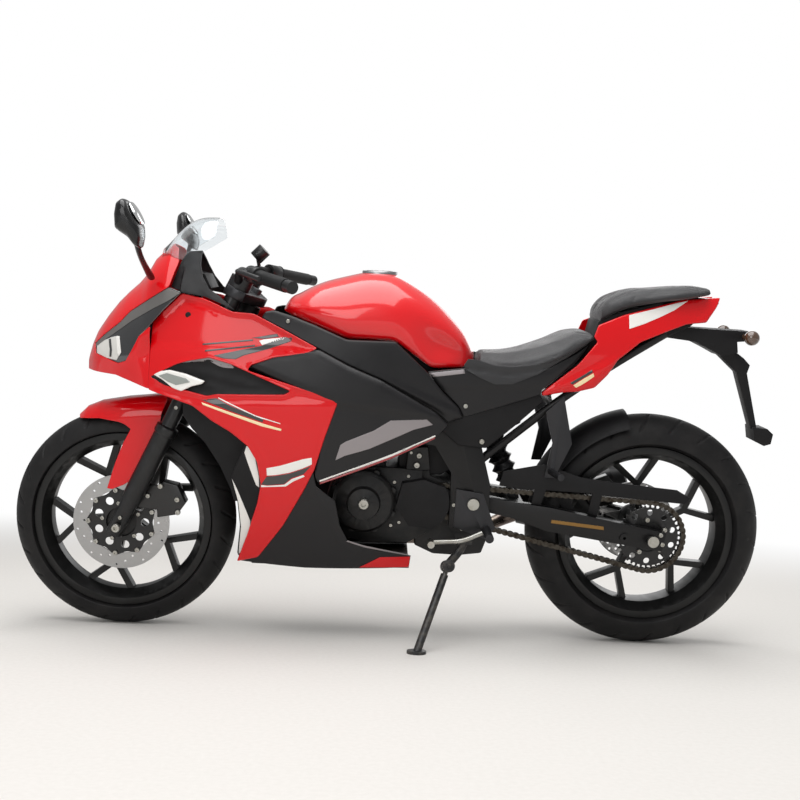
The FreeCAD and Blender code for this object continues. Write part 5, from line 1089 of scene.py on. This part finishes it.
def bolts(name, rows, body, mirror=False):
    """Socket-head bolts from rows of x, y, z and head radius, in upright millimetres: HEAD times the
    radius, turned in STEPS about the bike's y, and pointing away from its middle plane."""
    rows = np.array(rows, float)
    if mirror:
        rows = np.concatenate([rows, rows * [1, -1, 1, 1]])
    x, y, z, size = rows.T[:, :, None, None]
    angle = np.linspace(0, 2 * np.pi, STEPS, endpoint=False)[:, None]
    out = np.where(y < 0, -1.0, 1.0)
    points = np.stack(np.broadcast_arrays(
        x + size * HEAD[:, 0] * np.cos(angle), y + out * size * HEAD[:, 1],
        z + size * HEAD[:, 0] * np.sin(angle)), -1)
    first = np.arange(STEPS) * len(HEAD)
    head = [*grid_faces(STEPS, len(HEAD), columns_close=False), first + len(HEAD) - 1, first[::-1]]
    faces = [(face + STEPS * len(HEAD) * n).tolist() for n in range(len(rows)) for face in head]
    outward(solid_mesh(name, leaning(points.reshape(-1, 3)), faces, body, zinc_plate, smooth=False))


def seated(piece, spots):
    """Rows for bolts(): each x, z and radius gains the y at which a ray from the left meets the piece."""
    target, sight = bpy.data.objects[piece], bpy.context.evaluated_depsgraph_get()
    rows = []
    for x, z, radius in spots:
        hit, place = target.ray_cast(leaning([x, 600, z]).tolist(), (-axis_y).tolist(), depsgraph=sight)[:2]
        if hit:
            rows.append((x, float((np.array(place) - HOME) @ axis_y) * 1000, z, radius))
    return rows


# %% Flat plates with holes
def polar(radius, angle):
    """Points radius * (cos, sin) from the origin."""
    return np.stack([radius * np.cos(angle), radius * np.sin(angle)], -1)


def circle(radius, count=96):
    """Closed ring of points."""
    return polar(radius, np.linspace(0, 2 * np.pi, count, endpoint=False))


def spread(count, first=0.0):
    """Angles of count equal steps round a circle, in radians, starting at first degrees."""
    return np.radians(np.arange(count) * (360 / count) + first)


def flat_plate(name, loops, y, thickness, material):
    """Plate on the front wheel, its left face at y: the area inside the first loop and outside the others,
    which are drawn round the axle."""
    points, faces = filled(loops, 14.0, rim=(1.0,))
    faces = np.where(anticlockwise(points, faces)[:, None], faces[:, ::-1], faces)
    spots = np.insert(points + FRONT_AXLE[[0, 2]], 1, y, axis=1)
    made = solid_mesh(name, leaning(spots), faces, "front_wheel", material, smooth=False)
    return walled(made, thickness)


# %% Front disc: steel ring on a black carrier
drills = [circle(3.2, 10) + spot for spot in polar(np.tile([97.0, 107.0, 117.0], 10), spread(30))]
lobe = np.linspace(0, 2 * np.pi, 144, endpoint=False)
wave = polar(86 + 4.5 * np.cos(9 * lobe), lobe)
windows = [circle(11, 20) + spot for spot in polar(62, spread(9, 20))]
ring = flat_plate("front_disc_ring", [circle(126), circle(85), *drills], 64.4, 4.4, ground_steel)
flat_plate("front_disc_carrier", [wave, circle(40, 48), *windows], 65.0, 5.6, dark_anodised)
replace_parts(ring, "front_disc")


def bolt_circle(axle, radius, y, size, angles):
    """Rows for bolts(): a circle of them round an axle."""
    return [(axle[0] + x, y, axle[2] + z, size) for x, z in polar(radius, angles)]


bobbins = bolt_circle(FRONT_AXLE, 85.5, 64.8, 6.5, spread(9))
hub_bolts = bolt_circle(FRONT_AXLE, 50.0, 64.8, 5.5, spread(5, 10))
bolts("front_disc_bobbins", bobbins + hub_bolts, "front_wheel")
bolts("sprocket_bolts", bolt_circle(REAR_AXLE, 46.0, 91.0, 6.5, spread(5, 10)), "rear_wheel")
print("disc ring:", len(ring.data.polygons), "triangles")

# %% [markdown]
# ## Front fender, mirrors and belly
#
# The fender is one painted moulding: a shallow hood over the tyre whose sides run down in front of the fork
# legs.  As with the nose, we draw its outline from the side and let a formula give the half width at every
# point.

# %% Fender
FENDER_RIDGE = np.array([(585, 629), (622, 628), (690, 620), (759, 607), (796, 591), (818, 569)], float)
fender_outline = [tuple(p) for p in FENDER_RIDGE[::-1]] + [
    (580, 618), (589, 587), (594, 550), (606, 517), (622, 488), (641, 450), (648, 424), (679, 401),
    (711, 387), (725, 388), (704, 459), (685, 509), (667, 545), (682, 556), (700, 562), (753, 568),
    (800, 563), (812, 560)]
HOOD_DEPTH = 58


def fender_width(x, z):
    """Half width: a superellipse over the depth of the hood, then a slow flare to the tips of the arms."""
    below = np.interp(x, FENDER_RIDGE[:, 0], FENDER_RIDGE[:, 1]) - z
    broad = np.where(x < 600, 80.0, 80 * np.clip(1 - ((x - 600) / 232) ** 3, 0.02, 1) ** 0.5)
    drop = np.clip(below / HOOD_DEPTH, 0, 1)
    flare = np.clip(below - HOOD_DEPTH, 0, None) * 0.09
    return broad * (1 - (1 - drop) ** 2.3) ** (1 / 2.3) + flare


fender = both_sides("front_fender_skin", [rounded(fender_outline, 3.0, 4.0)], fender_width, "fairing_red",
                    red_lacquer, 2.5, 8.0, body="steering", weld=True)
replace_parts(fender, "front_fender")
print("fender:", len(fender.data.polygons), "triangles")

# %% Mirrors
MIRROR = rounded([(638, 1052), (640, 1085), (636, 1110), (624, 1120), (614, 1117), (596, 1086), (578, 1056),
                  (576, 1032), (580, 1008), (592, 1012), (608, 1032), (626, 1043)], 4.0, 4.0)
y = np.array([292, 300, 318, 345, 372, 392, 402, 405.5])
share = np.array([0.3, 0.55, 0.86, 0.98, 1.0, 0.9, 0.68, 0.3])
middle = np.array([608, 1075])
x, z = (middle + share[:, None, None] * (MIRROR - middle)).transpose(2, 0, 1)
head = np.stack(np.broadcast_arrays(x, y[:, None], z), -1)
STALK = [(611, 110, 935, 11, 8), (609, 160, 952, 9, 7), (607, 205, 967, 8, 6), (602, 270, 986, 7, 5.5),
         (597, 322, 1006, 7, 5.5), (597, 348, 1032, 8, 6)]     # x, y, z, half width, half height
x, y, z, wide, high = np.array(STALK, float).T[:, :, None]
angle = np.linspace(0, 2 * np.pi, 16, endpoint=False)
stalk = np.stack(np.broadcast_arrays(x + wide * np.cos(angle), y, z + high * np.sin(angle)), -1)
GLASS_MIDDLE = np.array([594, 350, 1088])
glass_rim = np.array([(0.55, 0.9), (0.9, 0.35), (0.95, -0.4), (0.6, -0.95), (-0.5, -0.9), (-0.92, -0.3),
                      (-0.9, 0.5), (-0.45, 0.95)])
across, upward = rounded(glass_rim * [40, 26], 12, 4).T
glass = GLASS_MIDDLE + np.stack([0.59 * upward, across, upward], 1)     # it leans 0.59 forward for 1 up
silvered = finish("silvered mirror glass", "#e8eaea", 0.03, Metallic=1.0)
for side, suffix in ((1, "left"), (-1, "right")):
    flip = np.array([1, side, 1])
    shell = lofted("mirror_head_" + suffix, head * flip, "chassis", gloss_moulding)
    refined(shell)
    refined(lofted("mirror_stalk_" + suffix, stalk * flip, "chassis", satin_enamel))
    pane = [list(range(len(glass)))]
    walled(solid_mesh("mirror_glass_" + suffix, leaning(glass * flip), pane, "chassis",
                      silvered), 2.0, offset=0)
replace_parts(shell, "mirrors")
print("mirror outline:", len(MIRROR), "points")

# %% Keep the front lugs of the inner cowl 7 mm under the fairing
lugs = bpy.data.objects["inner_cowl_eased"].data
spots = (coordinates(lugs) - HOME) @ BIKE * 1000
x, y, z = spots.T
most = np.where(x > 535, FAIRING(x, z) - 7, np.inf)
deep = np.abs(y) > most
spots[deep, 1] = np.sign(y[deep]) * most[deep]
lugs.vertices.foreach_set("co", leaning(spots).ravel())
lugs.update()
print("lugs moved:", int(deep.sum()), "points")

# %% Belly tip, inner lining and lower side plates
belly_form = ([], lambda x, z: COVER(x, z) + 0.2)
belly_tip = [(62, 220.5), (10, 252), (-68, 253), (-65.5, 220.5)]
# Painted highlight: a pale grey strip along the belly's lower edge, where the light catches it.
belly_edge_highlight = [(97, 297), (51, 281), (-37, 262), (-66, 256), (-66, 258), (-36, 266), (50, 286), (93, 300)]
sticker("belly_tip_red", belly_tip, belly_form, red_lacquer, slot="cover_black")
sticker("belly_edge_painted_highlight", belly_edge_highlight, belly_form, grey_vinyl_and_highlight, slot="cover_black")
lining_form = formed(fairing_barrel(226), [
    (352, 548), (372, 500), (390, 455), (374, 395), (368, 325), (378, 240), (366, 226), (335, 290),
    (309, 392), (300, 443), (310, 501), (335, 548)], edge=2.0)
panel("inner_linings", lining_form, "matte_black", grained_moulding)
for name, form, material, outline in (
        ("lining_strip_white", lining_form, vinyl_white, [
            (351, 537), (340, 537), (328, 503), (319, 460), (318, 432), (326, 438), (346, 491),
            (356, 520)]),
        ("lining_strip_pale", lining_form, vinyl_white, [
            (387, 451), (373, 422), (352, 369), (341, 339), (343, 309), (363, 250), (374, 241), (365, 322),
            (371, 390)]),
        # Painted highlight: a grey strip where light catches the vent's upper lip.
        ("vent_lip", vent_form, grey_vinyl_and_highlight, [
            (536, 731), (487, 745), (438, 755), (397, 739), (386, 727), (419, 727), (450, 741),
            (487, 737)])):
    sticker(name, outline, form, material, slot="matte_black")
lower_form = formed(barrel(143, -100, 620, 2000, 600), [
    (-119, 612), (-131, 584), (-178, 546), (-251, 541), (-322, 603), (-391, 667), (-372, 694),
    (-187, 650)])
panel("lower_side_plates", lower_form, "cover_black", grained_moulding)

# %% Skirt of the rider's seat and painted highlight under the tank
skirt = [
    (-180, 752), (-187, 742), (-221, 724), (-261, 708), (-305, 710), (-370, 737), (-449, 783), (-500, 818),
    (-497, 838), (-448, 803), (-368, 762), (-303, 754), (-259, 756), (-217, 768), (-190, 770)]
both_sides("seat_skirt", [rounded(skirt, 5.0)], lambda x, z: seat_panel_form[1](x, z) + 2.5, "seat_cover",
           seat_vinyl, 2.5, 8.0)
# Painted highlight: a grey strip where light catches the rolled top edge of the seat panel, under the tank.
tank_rest_highlight = [(-92, 730), (-182, 743), (-184, 733), (-99, 720)]
sticker("tank_rest_painted_highlight", tank_rest_highlight, seat_panel_form, grey_vinyl_and_highlight, slot="cover_black")

# %% [markdown]
# ## Machinery behind the panels
#
# Between the frame and the engine a real bike is packed: air box, throttle body, battery tray,
# linkages.  One sees them only as dark blocks with a bright screw or two, so rounded blocks in the right
# places are enough.

# %% Rounded blocks
def slab(name, outline, low, high, slot, material, ease_mm):
    """Block with a given side outline, from y = low to y = high, its edges rounded by ease_mm."""
    loop = rounded(outline, 5.0, 400.0)
    count = len(loop)
    points = np.concatenate([np.insert(loop, 1, low, axis=1), np.insert(loop, 1, high, axis=1)])
    walls = [(i, (i + 1) % count, (i + 1) % count + count, i + count) for i in range(count)]
    faces = walls + [tuple(range(count)), tuple(range(2 * count - 1, count - 1, -1))]
    made = solid_mesh(name, leaning(points), faces, "chassis", material)
    outward(made)
    bevelled(made, ease_mm)


MOULDED = ("matte_black", grained_moulding, 4.0)
CAST = ("engine_black", black_casting, 6.0)
SLABS = {
    "air_box": (-72, 72, MOULDED, [
        (-30, 470), (-24, 560), (-60, 606), (-150, 606), (-172, 560), (-168, 470), (-140, 455),
        (-60, 452)]),
    "throttle_body": (60, 92, CAST, [(-48, 462), (-52, 528), (-104, 532), (-112, 470)]),
    "battery_tray": (-60, 60, MOULDED, [(-200, 560), (-215, 640), (-330, 655), (-345, 600), (-258, 548)]),
    "lower_link_casting": (4, 66, CAST, [
        (-70, 330), (-80, 262), (-130, 240), (-200, 238), (-258, 246), (-276, 300), (-262, 350),
        (-150, 360)]),
    "tank_support": (-92, 92, MOULDED, [
        (20, 802), (-42, 787), (-106, 736), (-205, 748), (-208, 722), (-107, 714), (-26, 747), (19, 782)]),
    "tail_underside": (-62, 62, MOULDED, [
        (-590, 790), (-598, 782), (-616, 800), (-679, 829), (-702, 836), (-770, 870), (-788, 890),
        (-780, 900), (-736, 890), (-677, 872), (-614, 835)]),
}
for name, (low, high, look, outline) in SLABS.items():
    slab(name, outline, low, high, *look)
shroud = [(524, 650), (522, 596), (498, 562), (466, 530), (426, 470), (398, 412), (388, 380), (340, 380),
          (330, 690), (500, 700)]
both_sides("radiator_shrouds", [rounded(shroud, 5.0)], lambda x, z: np.full(len(x), 141.0), "matte_black",
           grained_moulding, 3.0, 16.0)
print("blocks:", list(SLABS))

# %% Screws and bolts on the bodywork and engine
BODY_SCREWS = {"tank_covers_skins": [(-107, 638, 6), (262, 846, 5)], "lower_side_plates": [(-237, 559, 7)],
               "seat_panels_skins": [(-190, 650, 6)]}
body_screws = [row for piece, spots in BODY_SCREWS.items() for row in seated(piece, spots)]
bolts("body_screws", body_screws, "chassis", mirror=True)
BOLTS = {                                              # body, and x, y, z and radius of each
    "frame_bolts": ("chassis", seated("main_frame_eased", [
        (-214, 363, 6), (-175, 387, 5), (-131, 492, 6), (-247, 330, 6), (-199, 326, 6)])),
    "generator_bolt": ("chassis", seated("engine_covers_eased", [(57, 392, 14)])),
    "throttle_screws": ("chassis", [(-81, 92, 508, 7), (-76, 92, 483, 8), (-60, 92, 515, 4)]),
    "case_screws": ("chassis", seated("engine_eased", [
        (-20, 436, 4.5), (-56, 453, 4.5), (-90, 440, 4.5), (-36, 330, 4.5), (-15, 321, 4.5),
        (0, 336, 4.5)])),
    "caliper_bolts": ("steering", seated("front_caliper_eased", [
        (541, 331, 7), (543, 365, 7), (587, 399, 7), (619, 372, 6)])),
    "fork_bolts": ("steering", seated("fork_legs_eased", [(682, 320, 5), (660, 300, 6), (543, 612, 5)])),
    "axle_ends": ("steering", [(690, 131, 295, 11)]),
}
for name, (body, rows) in BOLTS.items():
    bolts(name, rows, body)
swingarm_bolts = seated("swingarm_eased", [(-614, 372, 7), (-716, 330, 6), (-722, 305, 6)])
bolts("swingarm_bolts", swingarm_bolts, "chassis", mirror=True)
print("bolts:", {name: len(rows) for name, (body, rows) in BOLTS.items()})

# %% Stripe on the swingarm
stripe_y = seated("swingarm_eased", [(-490, 345, 1)])[0][1] + 0.4
stripe_gold = grain(finish("gold foil on black", "#8d6c3e", 0.4, 0.08, Metallic=0.9), 3.0, 0.02)
stripe = [(-425, 360), (-566, 347), (-567, 338), (-426, 351)]
both_sides("swingarm_stripe", [rounded(stripe, 1.5)], lambda x, z: np.full(len(x), stripe_y), "frame_black",
           stripe_gold, 0.3, 12.0)
print("stripe at", round(stripe_y, 1), "mm from the middle plane")
